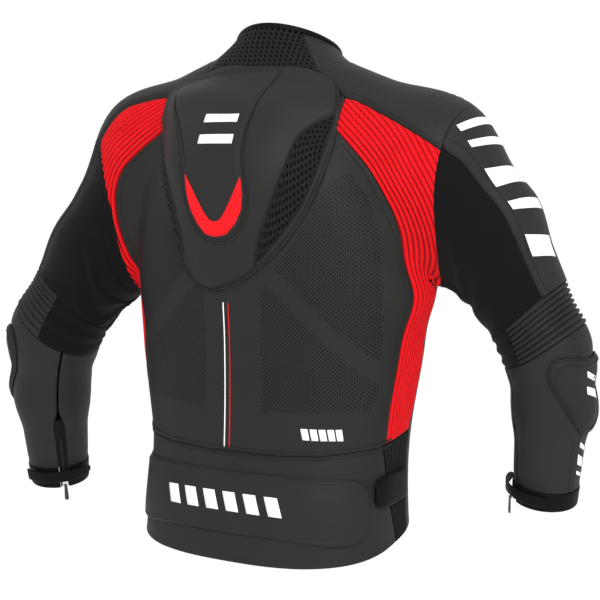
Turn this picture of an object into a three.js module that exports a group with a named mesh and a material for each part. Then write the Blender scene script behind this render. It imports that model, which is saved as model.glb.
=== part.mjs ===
// Leather riding jacket: body, two pre-curved sleeves, collar, armour, lining and fastenings.
// Millimetres, +Z up. The origin is the hanger loop at the centre back of the neck.
// The wearer faces -Y, so the back of the jacket faces +Y, and the wearer's left is +X.
import * as THREE from "three";
import { mergeVertices } from "three/addons/utils/BufferGeometryUtils.js";

// ---------------------------------------------------------------- driving dimensions
// Body sections: height, half width, depth to the back, depth to the front, centre y, roundness.
const BODY_SECTIONS = [
  [-660, 187, 118, 132, -50, 2.6],
  [-580, 177, 116, 128, -52, 2.6],
  [-480, 178, 111, 118, -60, 2.5],
  [-360, 197, 116, 107, -68, 2.5],
  [-240, 203, 130, 97, -75, 2.4],
  [-140, 178, 130, 95, -75, 2.3],
  [-70, 143, 105, 90, -78, 2.1],
  [-20, 70, 78, 73, -82, 2.0],
  [80, 56, 62, 64, -100, 2.0],
];
// Arm form for each side: points from the neck to the wrist with the sleeve's radius there.
const ARM_FORM = {
  left: [
    [53, -70, -43, 63],
    [202, -75, -110, 71],
    [289, -55, -256, 69],
    [351, -27, -364, 59],
    [373, -40, -460, 50],
    [382, -66, -585, 41],
  ],
  right: [
    [-53, -70, -51, 62],
    [-212, -75, -124, 73],
    [-276, -97, -204, 66],
    [-350, -123, -354, 51],
    [-353, -136, -430, 45],
    [-338, -155, -550, 40],
  ],
};
// Middle of the sleeve at each station, from the armhole (0) to the wrist (6).
const SLEEVE_STATIONS = {
  left: [
    [250, -72, -160],
    [285, -58, -230],
    [318, -42, -300],
    [347, -25, -366],
    [373, -40, -460],
    [379, -55, -530],
    [382, -66, -590],
  ],
  right: [
    [-250, -75, -160],
    [-285, -92, -225],
    [-318, -105, -290],
    [-345, -117, -357],
    [-352, -133, -430],
    [-345, -147, -500],
    [-338, -155, -550],
  ],
};
const SIDES = ["left", "right"];
const BLEND = 45; // rounding where body, shoulder and sleeve meet
const LIMB_BLEND = 20; // rounding between the lengths of one sleeve
const LEATHER = 2; // thickness of an outer panel
const SEAM_GAP = 0.8; // each panel stops this far short of its seam line
const LINING_DEPTH = 20; // lining below the outer surface
const ARMHOLE_SLOPE = 0.167; // how far the armhole plane leans in per millimetre down
const ARMHOLE_X = 277; // where that plane would meet z = 0

// Seam planes as [point, normal].
const RIM_PLANE = plane([0, -14, 50], [0, -0.36, 1]);
const WAIST_PLANE = plane([0, 0, -480], [0, 0.16, 1]);
const HEM_PLANE = plane([0, 0, -615], [0, 0.18, 1]);
const ARMHOLE_PLANE = {
  left: plane([ARMHOLE_X, 0, 0], [1, 0, -ARMHOLE_SLOPE]),
  right: plane([-ARMHOLE_X, 0, 0], [-1, 0, -ARMHOLE_SLOPE]),
};

// Colours of the materials.
const LOOK = {
  leather: [0x383736, 0.62, 0],
  perforated: [0x353433, 0.66, 0],
  stretch: [0x1e1e1e, 0.9, 0],
  red: [0xd8202a, 0.7, 0],
  mesh: [0x161616, 0.85, 0],
  binding: [0x202020, 0.7, 0],
  lining: [0x2a2a2c, 0.9, 0],
  armour: [0x8a8d92, 0.8, 0],
  tape: [0x1a1a1a, 0.8, 0],
  metal: [0x9a9ca0, 0.35, 1],
};

function plane(point, normal) {
  const n = new THREE.Vector3(...normal).normalize();
  return new THREE.Plane().setFromNormalAndCoplanarPoint(n, new THREE.Vector3(...point));
}

// ---------------------------------------------------------------- the body form
// The outer surface of the jacket is where form(p) is zero; it is negative inside.
function bodySection(z) {
  const rows = BODY_SECTIONS;
  const last = rows.length - 1;
  const height = THREE.MathUtils.clamp(z, rows[0][0], rows[last][0]);
  let i = 0;
  while (i < last - 1 && height > rows[i + 1][0]) i += 1;
  const span = rows[i + 1][0] - rows[i][0];
  const t = (height - rows[i][0]) / span;
  const slope = (k, c) => {
    const a = Math.max(k - 1, 0);
    const b = Math.min(k + 1, last);
    return (rows[b][c] - rows[a][c]) / (rows[b][0] - rows[a][0]);
  };
  const before = rows[i];
  const after = rows[i + 1];
  return [1, 2, 3, 4, 5].map((c) => {
    const rise = (2 * t + 1) * (1 - t) ** 2 * before[c] + t ** 2 * (3 - 2 * t) * after[c];
    return rise + span * (t * (1 - t) ** 2 * slope(i, c) - t ** 2 * (1 - t) * slope(i + 1, c));
  });
}

function bodyForm(p) {
  const [a, back, front, middle, power] = bodySection(p.z);
  const y = p.y - middle;
  const b = y > 0 ? back : front;
  const q = (Math.abs(p.x) / a) ** power + (Math.abs(y) / b) ** power;
  return (q ** (1 / power) - 1) * Math.min(a, b);
}

function coneForm(p, from, to) {
  const a = new THREE.Vector3(from[0], from[1], from[2]);
  const axis = new THREE.Vector3(to[0], to[1], to[2]).sub(a);
  const t = THREE.MathUtils.clamp(p.clone().sub(a).dot(axis) / axis.lengthSq(), 0, 1);
  return p.distanceTo(a.addScaledVector(axis, t)) - THREE.MathUtils.lerp(from[3], to[3], t);
}

function softMin(a, b, k) {
  const h = THREE.MathUtils.clamp(0.5 + (0.5 * (b - a)) / k, 0, 1);
  return b * (1 - h) + a * h - k * h * (1 - h);
}

function form(p) {
  let value = bodyForm(p);
  for (const side of SIDES) {
    const points = ARM_FORM[side];
    let arm = coneForm(p, points[1], points[2]);
    for (let i = 2; i < points.length - 1; i += 1) {
      arm = softMin(arm, coneForm(p, points[i], points[i + 1]), LIMB_BLEND);
    }
    const shoulder = coneForm(p, points[0], points[1]);
    value = softMin(value, softMin(shoulder, arm, BLEND), BLEND);
  }
  return value;
}

function outward(p) {
  const h = 0.5;
  const at = (x, y, z) => form(new THREE.Vector3(p.x + x, p.y + y, p.z + z));
  const x = at(h, 0, 0) - at(-h, 0, 0);
  const y = at(0, h, 0) - at(0, -h, 0);
  const z = at(0, 0, h) - at(0, 0, -h);
  return new THREE.Vector3(x, y, z).divideScalar(2 * h);
}

// Moves a point onto the outer surface, and onto a seam plane as well when one is given.
function settle(point, seamPlane) {
  const p = point.clone();
  if (seamPlane) seamPlane.projectPoint(point, p);
  for (let i = 0; i < 12; i += 1) {
    const slope = outward(p);
    if (seamPlane) slope.addScaledVector(seamPlane.normal, -slope.dot(seamPlane.normal));
    p.addScaledVector(slope, -form(p) / Math.max(slope.lengthSq(), 0.05));
  }
  return p;
}

// ---------------------------------------------------------------- seams and panels
// A seam runs through its points on the outer surface, with the given number of steps.
function seam(points, steps, seamPlane) {
  const curve = new THREE.CatmullRomCurve3(points.map((q) => (q.isVector3 ? q : new THREE.Vector3(...q))));
  return curve.getPoints(steps).map((q) => settle(q, seamPlane));
}

function joined(...seams) {
  return seams.reduce((all, next) => all.concat(next.slice(1)));
}

function reversed(points) {
  return [...points].reverse();
}

// The grid of a four-sided panel from its edges: top and bottom run the same way, as do left and right.
function patch({ top, bottom, left, right }) {
  const rows = left.length - 1;
  const columns = top.length - 1;
  const grid = [];
  for (let i = 0; i <= rows; i += 1) {
    const u = i / rows;
    const row = [];
    for (let j = 0; j <= columns; j += 1) {
      const v = j / columns;
      const p = new THREE.Vector3();
      p.addScaledVector(top[j], 1 - u).addScaledVector(bottom[j], u);
      p.addScaledVector(left[i], 1 - v).addScaledVector(right[i], v);
      p.addScaledVector(top[0], -(1 - u) * (1 - v)).addScaledVector(top[columns], -(1 - u) * v);
      p.addScaledVector(bottom[0], -u * (1 - v)).addScaledVector(bottom[columns], -u * v);
      row.push(settle(p));
    }
    grid.push(row);
  }
  return grid;
}

// Pulls the rim of a grid in by the seam gap.
function inset(grid, gap = SEAM_GAP) {
  const rows = grid.length - 1;
  const columns = grid[0].length - 1;
  const step = (p, q) => p.clone().addScaledVector(q.clone().sub(p).normalize(), gap);
  let out = grid.map((row) => row.map((p) => p.clone()));
  for (let j = 0; j <= columns; j += 1) {
    out[0][j] = step(grid[0][j], grid[1][j]);
    out[rows][j] = step(grid[rows][j], grid[rows - 1][j]);
  }
  const base = out;
  out = base.map((row) => row.map((p) => p.clone()));
  for (let i = 0; i <= rows; i += 1) {
    out[i][0] = step(base[i][0], base[i][1]);
    out[i][columns] = step(base[i][columns], base[i][columns - 1]);
  }
  return out;
}

// A closed solid between two offsets of a grid, measured outward along the surface normal.
// An offset may be a function of the two positions (0 to 1) on the grid and of the point.
function shell(grid, high, low, closedRound = false) {
  const rows = grid.length;
  const columns = grid[0].length;
  const positions = [];
  const indices = [];
  for (const offset of [high, low]) {
    grid.forEach((row, i) =>
      row.forEach((p, j) => {
        const amount = typeof offset === "function" ? offset(i / (rows - 1), j / (columns - 1), p) : offset;
        const q = p.clone().addScaledVector(outward(p).normalize(), amount);
        positions.push(q.x, q.y, q.z);
      }),
    );
  }
  const under = rows * columns;
  const at = (i, j) => i * columns + (closedRound ? j % columns : j);
  const quad = (a, b, c, d) => indices.push(a, b, c, a, c, d);
  const lastColumn = closedRound ? columns : columns - 1;
  for (let i = 0; i < rows - 1; i += 1) {
    for (let j = 0; j < lastColumn; j += 1) {
      quad(at(i, j), at(i + 1, j), at(i + 1, j + 1), at(i, j + 1));
      quad(under + at(i, j), under + at(i, j + 1), under + at(i + 1, j + 1), under + at(i + 1, j));
    }
  }
  for (let j = 0; j < lastColumn; j += 1) {
    quad(at(0, j), at(0, j + 1), under + at(0, j + 1), under + at(0, j));
    quad(at(rows - 1, j + 1), at(rows - 1, j), under + at(rows - 1, j), under + at(rows - 1, j + 1));
  }
  if (!closedRound) {
    for (let i = 0; i < rows - 1; i += 1) {
      quad(at(i + 1, 0), at(i, 0), under + at(i, 0), under + at(i + 1, 0));
      const edge = [at(i, columns - 1), at(i + 1, columns - 1)];
      quad(edge[0], edge[1], under + edge[1], under + edge[0]);
    }
  }
  const geometry = new THREE.BufferGeometry();
  geometry.setAttribute("position", new THREE.Float32BufferAttribute(positions, 3));
  geometry.setIndex(indices);
  return facingOut(geometry);
}

// Turns the faces of a closed geometry outward if its enclosed volume is negative.
function facingOut(geometry) {
  const p = geometry.getAttribute("position");
  const index = geometry.index.array;
  const corner = (k) => new THREE.Vector3().fromBufferAttribute(p, index[k]);
  let volume = 0;
  for (let k = 0; k < index.length; k += 3) {
    volume += corner(k).dot(corner(k + 1).cross(corner(k + 2)));
  }
  if (volume < 0) {
    for (let k = 0; k < index.length; k += 3) {
      [index[k + 1], index[k + 2]] = [index[k + 2], index[k + 1]];
    }
  }
  geometry.computeVertexNormals();
  return geometry;
}

// ---------------------------------------------------------------- the group of parts
const jacket = new THREE.Group();

function add(name, look, geometry) {
  const [color, roughness, metalness] = LOOK[look];
  const mesh = new THREE.Mesh(geometry, new THREE.MeshStandardMaterial({ color, roughness, metalness }));
  mesh.name = name;
  jacket.add(mesh);
  return mesh;
}

// ---------------------------------------------------------------- seams of the body, one set for each side
const ARM_STEPS = 4; // steps down each half of the armhole
const FLANK_STEPS = 5; // steps from the armpit to the waist
const HEM_STEPS = 2; // steps from the waist to the hem
const ZIP_HALF_WIDTH = 12; // from the centre front to the edge of a front panel

function bodySeams(side) {
  const sign = side === "left" ? 1 : -1;
  const armhole = ARMHOLE_PLANE[side];
  const at = (x, y, z) => new THREE.Vector3(sign * x, y, z);
  const run = (points, steps, seamPlane) =>
    seam(points.map((q) => (q.isVector3 ? q : at(...q))), steps, seamPlane);
  const neckRear = settle(at(80, -24, -14));
  const yokeCorner = settle(at(125, -14, -46));
  const armRearTop = settle(at(258, -13, -113), armhole);
  const armFrontTop = settle(at(258, -135, -118), armhole);
  const armpit = settle(at(234, -75, -262), armhole);
  const neckFront = settle(at(76, -136, -42));
  const centreNeck = settle(at(ZIP_HALF_WIDTH, -166, -67));
  const redWaist = settle(at(177, -32, -475), WAIST_PLANE);
  const flankWaist = settle(at(180, -92, -468), WAIST_PLANE);
  const flankHem = settle(at(180, -92, -600), HEM_PLANE);
  return {
    neckBack: run([[0, -2, -4], [45, -9, -8], neckRear], 3),
    neckSide: run([neckRear, [94, -80, -8], neckFront], 4),
    neckFront: run([centreNeck, [45, -158, -60], neckFront], 2),
    yokeRear: run([neckRear, yokeCorner], 1),
    redTop: run([yokeCorner, [185, -6, -70], [221, -4, -87], armRearTop], 4),
    redInner: run(
      [
        yokeCorner,
        [130, 8, -87],
        [152, 9, -112],
        [187, 4, -146],
        [198, -8, -185],
        [200, -25, -230],
        [200, -32, -281],
        [195, -25, -340],
        [187, -24, -400],
        redWaist,
      ],
      ARM_STEPS + FLANK_STEPS,
    ),
    armRear: run([armRearTop, [249, -14, -169], [241, -40, -237], armpit], ARM_STEPS, armhole),
    armFront: run([armFrontTop, [250, -140, -170], [240, -115, -237], armpit], ARM_STEPS, armhole),
    armTop: run([armRearTop, [267, -40, -60], [268, -78, -48], [267, -110, -62], armFrontTop], 4, armhole),
    yokeFront: run([neckFront, [130, -150, -78], [200, -150, -98], armFrontTop], 4),
    flank: run([armpit, [206, -92, -330], [190, -96, -400], flankWaist], FLANK_STEPS),
    flankLow: run([flankWaist, [178, -92, -535], flankHem], HEM_STEPS),
  };
}

const SEAMS = { left: bodySeams("left"), right: bodySeams("right") };

// Points along a seam plane between two ends, through a middle hint.
function across(from, through, to, steps, seamPlane) {
  return seam([from, ...through.map((q) => new THREE.Vector3(...q)), to], steps, seamPlane);
}

const last = (points) => points[points.length - 1];

// ---------------------------------------------------------------- back of the body
function backPanel() {
  const { left, right } = SEAMS;
  const top = joined(reversed(right.neckBack), left.neckBack);
  const sideEdge = (s) => joined(s.yokeRear, s.redInner);
  const bottom = across(last(right.redInner), [[-100, 40, -487], [0, 51, -488], [100, 40, -487]],
    last(left.redInner), top.length - 1, WAIST_PLANE);
  const grid = patch({ top, bottom, left: sideEdge(right), right: sideEdge(left) });
  add("back_panel", "perforated", shell(inset(grid), 0, -LEATHER));
}

function stretchPanel(side) {
  const s = SEAMS[side];
  const bottom = seam([last(s.redInner), last(s.flank)], 4, WAIST_PLANE);
  const grid = patch({ top: s.redTop, bottom, left: s.redInner, right: joined(s.armRear, s.flank) });
  add(`stretch_panel_${side}`, "red", shell(inset(grid), 0, -LEATHER));
}

function shoulderYoke(side) {
  const s = SEAMS[side];
  const rear = joined(s.yokeRear, s.redTop);
  const front = seam([s.neckFront[2], ...s.yokeFront.slice(1)], 5);
  const grid = patch({ top: s.neckSide, bottom: s.armTop, left: rear, right: front });
  add(`shoulder_yoke_${side}`, "leather", shell(inset(grid), 0, -LEATHER));
}

const FRONT_ROWS = ARM_STEPS + FLANK_STEPS + HEM_STEPS;

function frontPanel(side) {
  const s = SEAMS[side];
  const sign = side === "left" ? 1 : -1;
  const outerTop = seam([s.neckFront[2], ...s.yokeFront.slice(1)], 5);
  const top = joined(s.neckFront, outerTop);
  const centre = [];
  for (let i = 0; i <= FRONT_ROWS; i += 1) {
    const z = THREE.MathUtils.lerp(-67, -583, i / FRONT_ROWS);
    centre.push(new THREE.Vector3(sign * ZIP_HALF_WIDTH, -175, z));
  }
  centre[0] = top[0];
  const bottom = across(new THREE.Vector3(sign * ZIP_HALF_WIDTH, -180, -583),
    [[sign * 90, -168, -586], [sign * 160, -130, -592]], last(s.flankLow), top.length - 1, HEM_PLANE);
  const grid = patch({ top, bottom, left: centre, right: joined(s.armFront, s.flank, s.flankLow) });
  grid.forEach((row) => {
    row[0].x = sign * ZIP_HALF_WIDTH;
  });
  add(`front_panel_${side}`, "leather", shell(inset(grid), 0, -LEATHER));
}

// Where the leather of the waist gives way to elastic, from the waist seam down to the hem.
function bandEdge(sign) {
  const at = (z, seamPlane) => settle(new THREE.Vector3(sign * 168, -6, z), seamPlane);
  return [at(-484, WAIST_PLANE), at(-550), at(-613, HEM_PLANE)];
}

function waistBand() {
  const left = bandEdge(-1);
  const right = bandEdge(1);
  const top = across(left[0], [[-100, 40, -487], [0, 51, -488], [100, 40, -487]], right[0], 8, WAIST_PLANE);
  const bottom = across(left[2], [[-110, 52, -624], [0, 66, -627], [110, 52, -624]], right[2], 8, HEM_PLANE);
  const grid = patch({ top, bottom, left, right });
  add("waist_band", "leather", shell(inset(grid), 0, -LEATHER));
}

function sideElastic(side) {
  const sign = side === "left" ? 1 : -1;
  const s = SEAMS[side];
  const inner = bandEdge(sign);
  const top = seam([inner[0], new THREE.Vector3(sign * 180, -50, -473), s.flankLow[0]], 3, WAIST_PLANE);
  const bottom = seam([inner[2], new THREE.Vector3(sign * 181, -50, -606), last(s.flankLow)], 3, HEM_PLANE);
  const grid = patch({ top, bottom, left: inner, right: s.flankLow });
  add(`side_elastic_${side}`, "stretch", shell(inset(grid, 1), 0, -LEATHER));
}

// The grid of a piece on the back: each row is its height and its two ends in x.
function backStrip(rows, columns) {
  return rows.map(([z, x0, x1]) => {
    const row = [];
    for (let j = 0; j <= columns; j += 1) {
      row.push(settle(new THREE.Vector3(THREE.MathUtils.lerp(x0, x1, j / columns), 60, z)));
    }
    return row;
  });
}

const bothSides = ([z, half]) => [z, -half, half];
const dome = (u, v) => Math.sin(Math.PI * u) ** 0.5 * Math.sin(Math.PI * v) ** 0.5;
const PAD_LIFT = 3; // clearance between a panel and a pad sewn over it

// The aerodynamic hump: height and half width of each row, down from the collar seam.
const HUMP_ROWS = [[-22, 84], [-52, 108], [-95, 104], [-150, 84], [-205, 66], [-250, 44], [-277, 16]];
const HUMP_RISE = 26;
const LUMBAR_ROWS = [[-512, 128], [-555, 135], [-600, 128]];

// How far the hump's face stands off the back at a point.
function humpLift(p) {
  const rows = HUMP_ROWS;
  let k = 0;
  while (k < rows.length - 2 && p.z < rows[k + 1][0]) k += 1;
  const t = THREE.MathUtils.clamp((rows[k][0] - p.z) / (rows[k][0] - rows[k + 1][0]), 0, 1);
  const half = THREE.MathUtils.lerp(rows[k][1], rows[k + 1][1], t);
  const u = (k + t) / (rows.length - 1);
  const v = THREE.MathUtils.clamp(0.5 + (0.5 * p.x) / half, 0, 1);
  return PAD_LIFT + 4 + HUMP_RISE * dome(0.12 + 0.8 * u, 0.08 + 0.84 * v);
}

function backPads() {
  const hump = backStrip(HUMP_ROWS.map(bothSides), 8);
  add("back_hump", "leather", shell(hump, (u, v, p) => humpLift(p), PAD_LIFT));
  const pad = backStrip(LUMBAR_ROWS.map(bothSides), 6);
  add("lumbar_pad", "leather", shell(pad, (u, v) => PAD_LIFT + 3 + 5 * dome(u, v), PAD_LIFT));
}

function backTrim() {
  const inlay = backStrip([[-30, -52, 52], [-80, -48, 48], [-130, -40, 40], [-160, -34, 34]], 4);
  const above = (gap) => (u, v, p) => humpLift(p) + gap;
  add("hump_inlay", "leather", shell(inlay, above(4), above(2.5)));
  const chevron = backStrip([[-168, -32, 32], [-200, -26, 26], [-232, -10, 10]], 4);
  add("hump_chevron", "red", shell(chevron, above(4), above(2.5)));
  for (const side of SIDES) {
    const sign = side === "left" ? 1 : -1;
    const rows = [[-72, 112, 120], [-110, 105, 121], [-150, 89, 104], [-200, 70, 78], [-246, 49, 53]];
    const insert = backStrip(rows.map(([z, p, q]) => [z, sign * p, sign * q]), 2);
    add(`mesh_insert_${side}`, "mesh", shell(insert, 3, 1));
  }
}

// The waist strap is sewn at the side of the waist and its rounded end is pressed onto the back.
const STRAP_HEIGHTS = [-518, -536, -554];
const STRAP_ROOT_Y = -60;
const STRAP_TIP_Y = [6, 12, 6];

function waistStrap(side) {
  const sign = side === "left" ? 1 : -1;
  const grid = STRAP_HEIGHTS.map((z, i) =>
    [0, 0.3, 0.6, 0.85, 1].map((t) => {
      const y = THREE.MathUtils.lerp(STRAP_TIP_Y[i], STRAP_ROOT_Y, t);
      return settle(new THREE.Vector3(sign * (160 + 20 * t), y, z));
    }),
  );
  add(`waist_strap_${side}`, "binding", shell(grid, PAD_LIFT + 2, PAD_LIFT));
}

// ---------------------------------------------------------------- inside the body
function insideLayer(name, look, rows, steps, high, low, edges = 0) {
  const curve = (k) => new THREE.CatmullRomCurve3(rows.map((row) => new THREE.Vector3(...row[k])));
  const rails = rows[0].map((_, k) => curve(k).getPoints(steps));
  const grid = rails[0].map((_, i) => {
    const rail = new THREE.CatmullRomCurve3(rails.map((points) => points[i]));
    return rail.getPoints(edges).map((q) => settle(q));
  });
  add(name, look, shell(grid, high, low));
}

function innerLayers() {
  const protector = [
    [[-95, 25, -70], [0, 40, -70], [95, 25, -70]],
    [[-120, 40, -180], [0, 58, -180], [120, 40, -180]],
    [[-105, 40, -320], [0, 52, -320], [105, 40, -320]],
    [[-80, 45, -450], [0, 52, -450], [80, 45, -450]],
  ];
  insideLayer("back_protector", "armour", protector, 6, -8, -16, 6);
  const back = [
    [[-80, -24, -24], [0, -3, -12], [80, -24, -24]],
    [[-190, -10, -120], [0, 55, -120], [190, -10, -120]],
    [[-200, -40, -240], [0, 56, -240], [200, -40, -240]],
    [[-188, -70, -400], [0, 48, -400], [188, -70, -400]],
    [[-178, -70, -595], [0, 64, -612], [178, -70, -595]],
  ];
  insideLayer("lining_back", "lining", back, 8, -LINING_DEPTH, -LINING_DEPTH - 1.5, 8);
  for (const side of SIDES) {
    const sign = side === "left" ? 1 : -1;
    const front = [
      [[16, -165, -84], [50, -158, -84], [76, -140, -84]],
      [[16, -170, -130], [110, -160, -130], [182, -130, -135]],
      [[16, -172, -240], [120, -165, -240], [200, -100, -245]],
      [[16, -175, -400], [120, -165, -400], [186, -100, -400]],
      [[16, -180, -575], [110, -170, -575], [176, -100, -585]],
    ];
    const mirrored = front.map((row) => row.map(([x, y, z]) => [sign * x, y, z]));
    insideLayer(`lining_front_${side}`, "lining", mirrored, 8, -9, -10.5, 5);
    const shoulder = [
      [[168, -30, -52], [170, -80, -40], [168, -130, -72]],
      [[205, -24, -72], [208, -80, -42], [205, -138, -88]],
      [[236, -24, -88], [240, -80, -48], [236, -132, -98]],
    ];
    const pad = shoulder.map((row) => row.map(([x, y, z]) => [sign * x, y, z]));
    insideLayer(`shoulder_armor_${side}`, "armour", pad, 4, -13, -20, 5);
  }
}

function trouserZip() {
  const rows = [[-592, -60, 60], [-606, -60, 60]];
  const grid = backStrip(rows, 5);
  add("trouser_zip", "tape", shell(grid, -LINING_DEPTH - 6, -LINING_DEPTH - 8));
}

const LOOP_RADIUS = 24;

function hangerLoop() {
  const arc = new THREE.Shape();
  arc.absarc(0, 0, LOOP_RADIUS, Math.PI, 0, true);
  arc.absarc(0, 0, LOOP_RADIUS - 5, 0, Math.PI, false);
  const strap = new THREE.ExtrudeGeometry(arc, { depth: 2, bevelEnabled: false, curveSegments: 8 });
  strap.rotateX(Math.PI / 2);
  strap.translate(0, -14, -24);
  add("hanger_loop", "tape", weld(strap));
}

// ---------------------------------------------------------------- collar
const RIM_RADIUS = { side: 58, back: 64 };
const RIM_MIDDLE = -88;

// The point of the collar's rim above a point of the neck seam.
function rimAbove(p) {
  const angle = Math.atan2(p.x, p.y - RIM_MIDDLE);
  const x = RIM_RADIUS.side * Math.sin(angle);
  const y = RIM_MIDDLE + RIM_RADIUS.back * Math.cos(angle);
  const z = -RIM_PLANE.distanceToPoint(new THREE.Vector3(x, y, 0)) / RIM_PLANE.normal.z;
  return settle(new THREE.Vector3(x, y, z), RIM_PLANE);
}

function collarBand(seamPoints) {
  const high = seamPoints.map(rimAbove);
  const middle = seamPoints.map((p, i) => settle(p.clone().lerp(high[i], 0.5)));
  return [high, middle, seamPoints];
}

function collar() {
  const { left, right } = SEAMS;
  const back = joined(reversed(right.neckBack), left.neckBack);
  add("collar_back_mesh", "mesh", shell(inset(collarBand(back), 0.8), 1, -3));
  const rim = [];
  for (const side of SIDES) {
    const s = SEAMS[side];
    const front = joined(s.neckSide, reversed(s.neckFront));
    add(`collar_front_${side}`, "leather", shell(inset(collarBand(front), 0.8), 1, -3));
    rim.push(front.slice(1).map(rimAbove));
  }
  const whole = [...reversed(rim[1]), ...back.map(rimAbove), ...rim[0]];
  const raised = (lift) => whole.map((p) => p.clone().addScaledVector(RIM_PLANE.normal, lift));
  const binding = [raised(5.4), raised(0.4)];
  add("collar_binding", "binding", shell(binding, 1.5, -3.5));
}

// ---------------------------------------------------------------- sleeves
const STATION_COUNT = 6;

function sleeveAxis(side) {
  const points = SLEEVE_STATIONS[side].map((q) => new THREE.Vector3(...q));
  return new THREE.CatmullRomCurve3(points, false, "catmullrom", 0.5);
}

const AXES = { left: sleeveAxis("left"), right: sleeveAxis("right") };

function sleeveFrame(side, s) {
  const centre = AXES[side].getPoint(s / STATION_COUNT);
  const along = AXES[side].getTangent(s / STATION_COUNT);
  const turn = THREE.MathUtils.smoothstep(s, 0.3, 2.4);
  along.multiplyScalar(turn).addScaledVector(ARMHOLE_PLANE[side].normal, 1 - turn).normalize();
  const back = new THREE.Vector3(0, 1, 0);
  back.addScaledVector(along, -back.dot(along)).normalize();
  const out = along.clone().cross(back);
  if (side === "right") out.negate();
  return { centre, along, back, out };
}

// The point on the sleeve at station s and angle phi (degrees, 0 on the outside, 90 at the back).
function sleevePoint(side, s, phi) {
  const { centre, back, out } = sleeveFrame(side, s);
  const angle = THREE.MathUtils.degToRad(phi);
  const ray = out.multiplyScalar(Math.cos(angle)).addScaledVector(back, Math.sin(angle));
  let near = 0;
  let far = 8;
  const at = (t) => centre.clone().addScaledVector(ray, t);
  while (form(at(far)) < 0 && far < 160) {
    near = far;
    far += 8;
  }
  for (let i = 0; i < 16; i += 1) {
    const middle = (near + far) / 2;
    if (form(at(middle)) < 0) near = middle;
    else far = middle;
  }
  return at(near);
}

function sleeveGrid(side, top, bottom, rows, from, to, columns, round = false) {
  const grid = [];
  const count = round ? columns : columns + 1;
  for (let i = 0; i <= rows; i += 1) {
    const row = [];
    for (let j = 0; j < count; j += 1) {
      const phi = THREE.MathUtils.lerp(from, to, j / columns);
      row.push(sleevePoint(side, THREE.MathUtils.lerp(top(phi), bottom(phi), i / rows), phi));
    }
    grid.push(row);
  }
  return grid;
}

// Pulls only the two ends of a ring in by the seam gap.
function insetRing(grid, gap = SEAM_GAP) {
  const out = grid.map((row) => row.map((p) => p.clone()));
  const end = grid.length - 1;
  grid[0].forEach((p, j) => {
    out[0][j].addScaledVector(grid[1][j].clone().sub(p).normalize(), gap);
    out[end][j].addScaledVector(grid[end - 1][j].clone().sub(grid[end][j]).normalize(), gap);
  });
  return out;
}

const CAP_END = 0.9; // the flexible ring at the shoulder ends here
const CAP_GAP = 2.7; // the ring stops this far short of the armhole and of the sleeve
const CUFF_START = 5.5;
const CUFF_END = 6;
const BAND_REAR = 46; // angle of the rear edge of the leather band down the outside of the sleeve
const BAND_FRONT = -50;
const ZIP_ANGLE = 140; // the cuff zip lies here
const ZIP_START = 4.2;
const RING = 16;

const cos = (degrees) => Math.cos(THREE.MathUtils.degToRad(degrees));
const fixed = (s) => () => s;
const gussetTop = (phi) => 2.3 - 0.18 * cos(phi);
const gussetEnd = (phi) => 2.96 - 0.18 * cos(phi);

// Half the angle that the cuff zip opens in the forearm at station s.
function zipHalfAngle(s) {
  return 1.2 + 8 * THREE.MathUtils.smoothstep(s, ZIP_START - 0.2, ZIP_START + 0.3);
}

function openTube(side, top, bottom, rows, columns) {
  const grid = [];
  for (let i = 0; i <= rows; i += 1) {
    const row = [];
    for (let j = 0; j <= columns; j += 1) {
      const v = j / columns;
      const guess = ZIP_ANGLE + 360 * v;
      const s = THREE.MathUtils.lerp(top(guess), bottom(guess), i / rows);
      const half = zipHalfAngle(s);
      row.push(sleevePoint(side, s, ZIP_ANGLE + THREE.MathUtils.lerp(half, 360 - half, v)));
    }
    grid.push(row);
  }
  return grid;
}

function sleeve(side) {
  const cap = sleeveGrid(side, fixed(0), fixed(CAP_END), 3, 0, 360, RING, true);
  add(`sleeve_cap_${side}`, "stretch", shell(insetRing(cap, CAP_GAP), 0, -LEATHER, true));
  const band = sleeveGrid(side, fixed(CAP_END), gussetTop, 4, BAND_FRONT, BAND_REAR, 5);
  add(`upper_sleeve_leather_${side}`, "leather", shell(inset(band), 0, -LEATHER));
  const inner = sleeveGrid(side, fixed(CAP_END), gussetTop, 4, BAND_REAR, BAND_FRONT + 360, 9);
  add(`upper_sleeve_stretch_${side}`, "stretch", shell(inset(inner), 0, -LEATHER));
  const gusset = sleeveGrid(side, gussetTop, gussetEnd, 2, 0, 360, RING, true);
  add(`elbow_gusset_${side}`, "leather", shell(insetRing(gusset), 0, -LEATHER, true));
  const forearm = openTube(side, gussetEnd, fixed(CUFF_START), 7, RING);
  add(`forearm_leather_${side}`, "leather", shell(insetRing(forearm), 0, -LEATHER));
  const cuff = openTube(side, fixed(CUFF_START), fixed(CUFF_END), 1, RING);
  add(`cuff_band_${side}`, "binding", shell(insetRing(cuff), 1, -LEATHER));
  const pad = sleeveGrid(side, fixed(3.2), fixed(4.6), 4, -32, 40, 4);
  add(`elbow_pad_${side}`, "leather", shell(pad, (u, v) => 6 + 4 * dome(u, v), 3.5));
  const armour = sleeveGrid(side, fixed(3.15), fixed(4.7), 4, -55, 60, 5);
  add(`elbow_armor_${side}`, "armour", shell(armour, -8.5, -14));
}

// ---------------------------------------------------------------- zips, sliders, pulls and tabs
const SLIDER = { length: 12, width: 8, height: 5 };
const PULL = { length: 24, width: 6, thickness: 1.8 };

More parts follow.
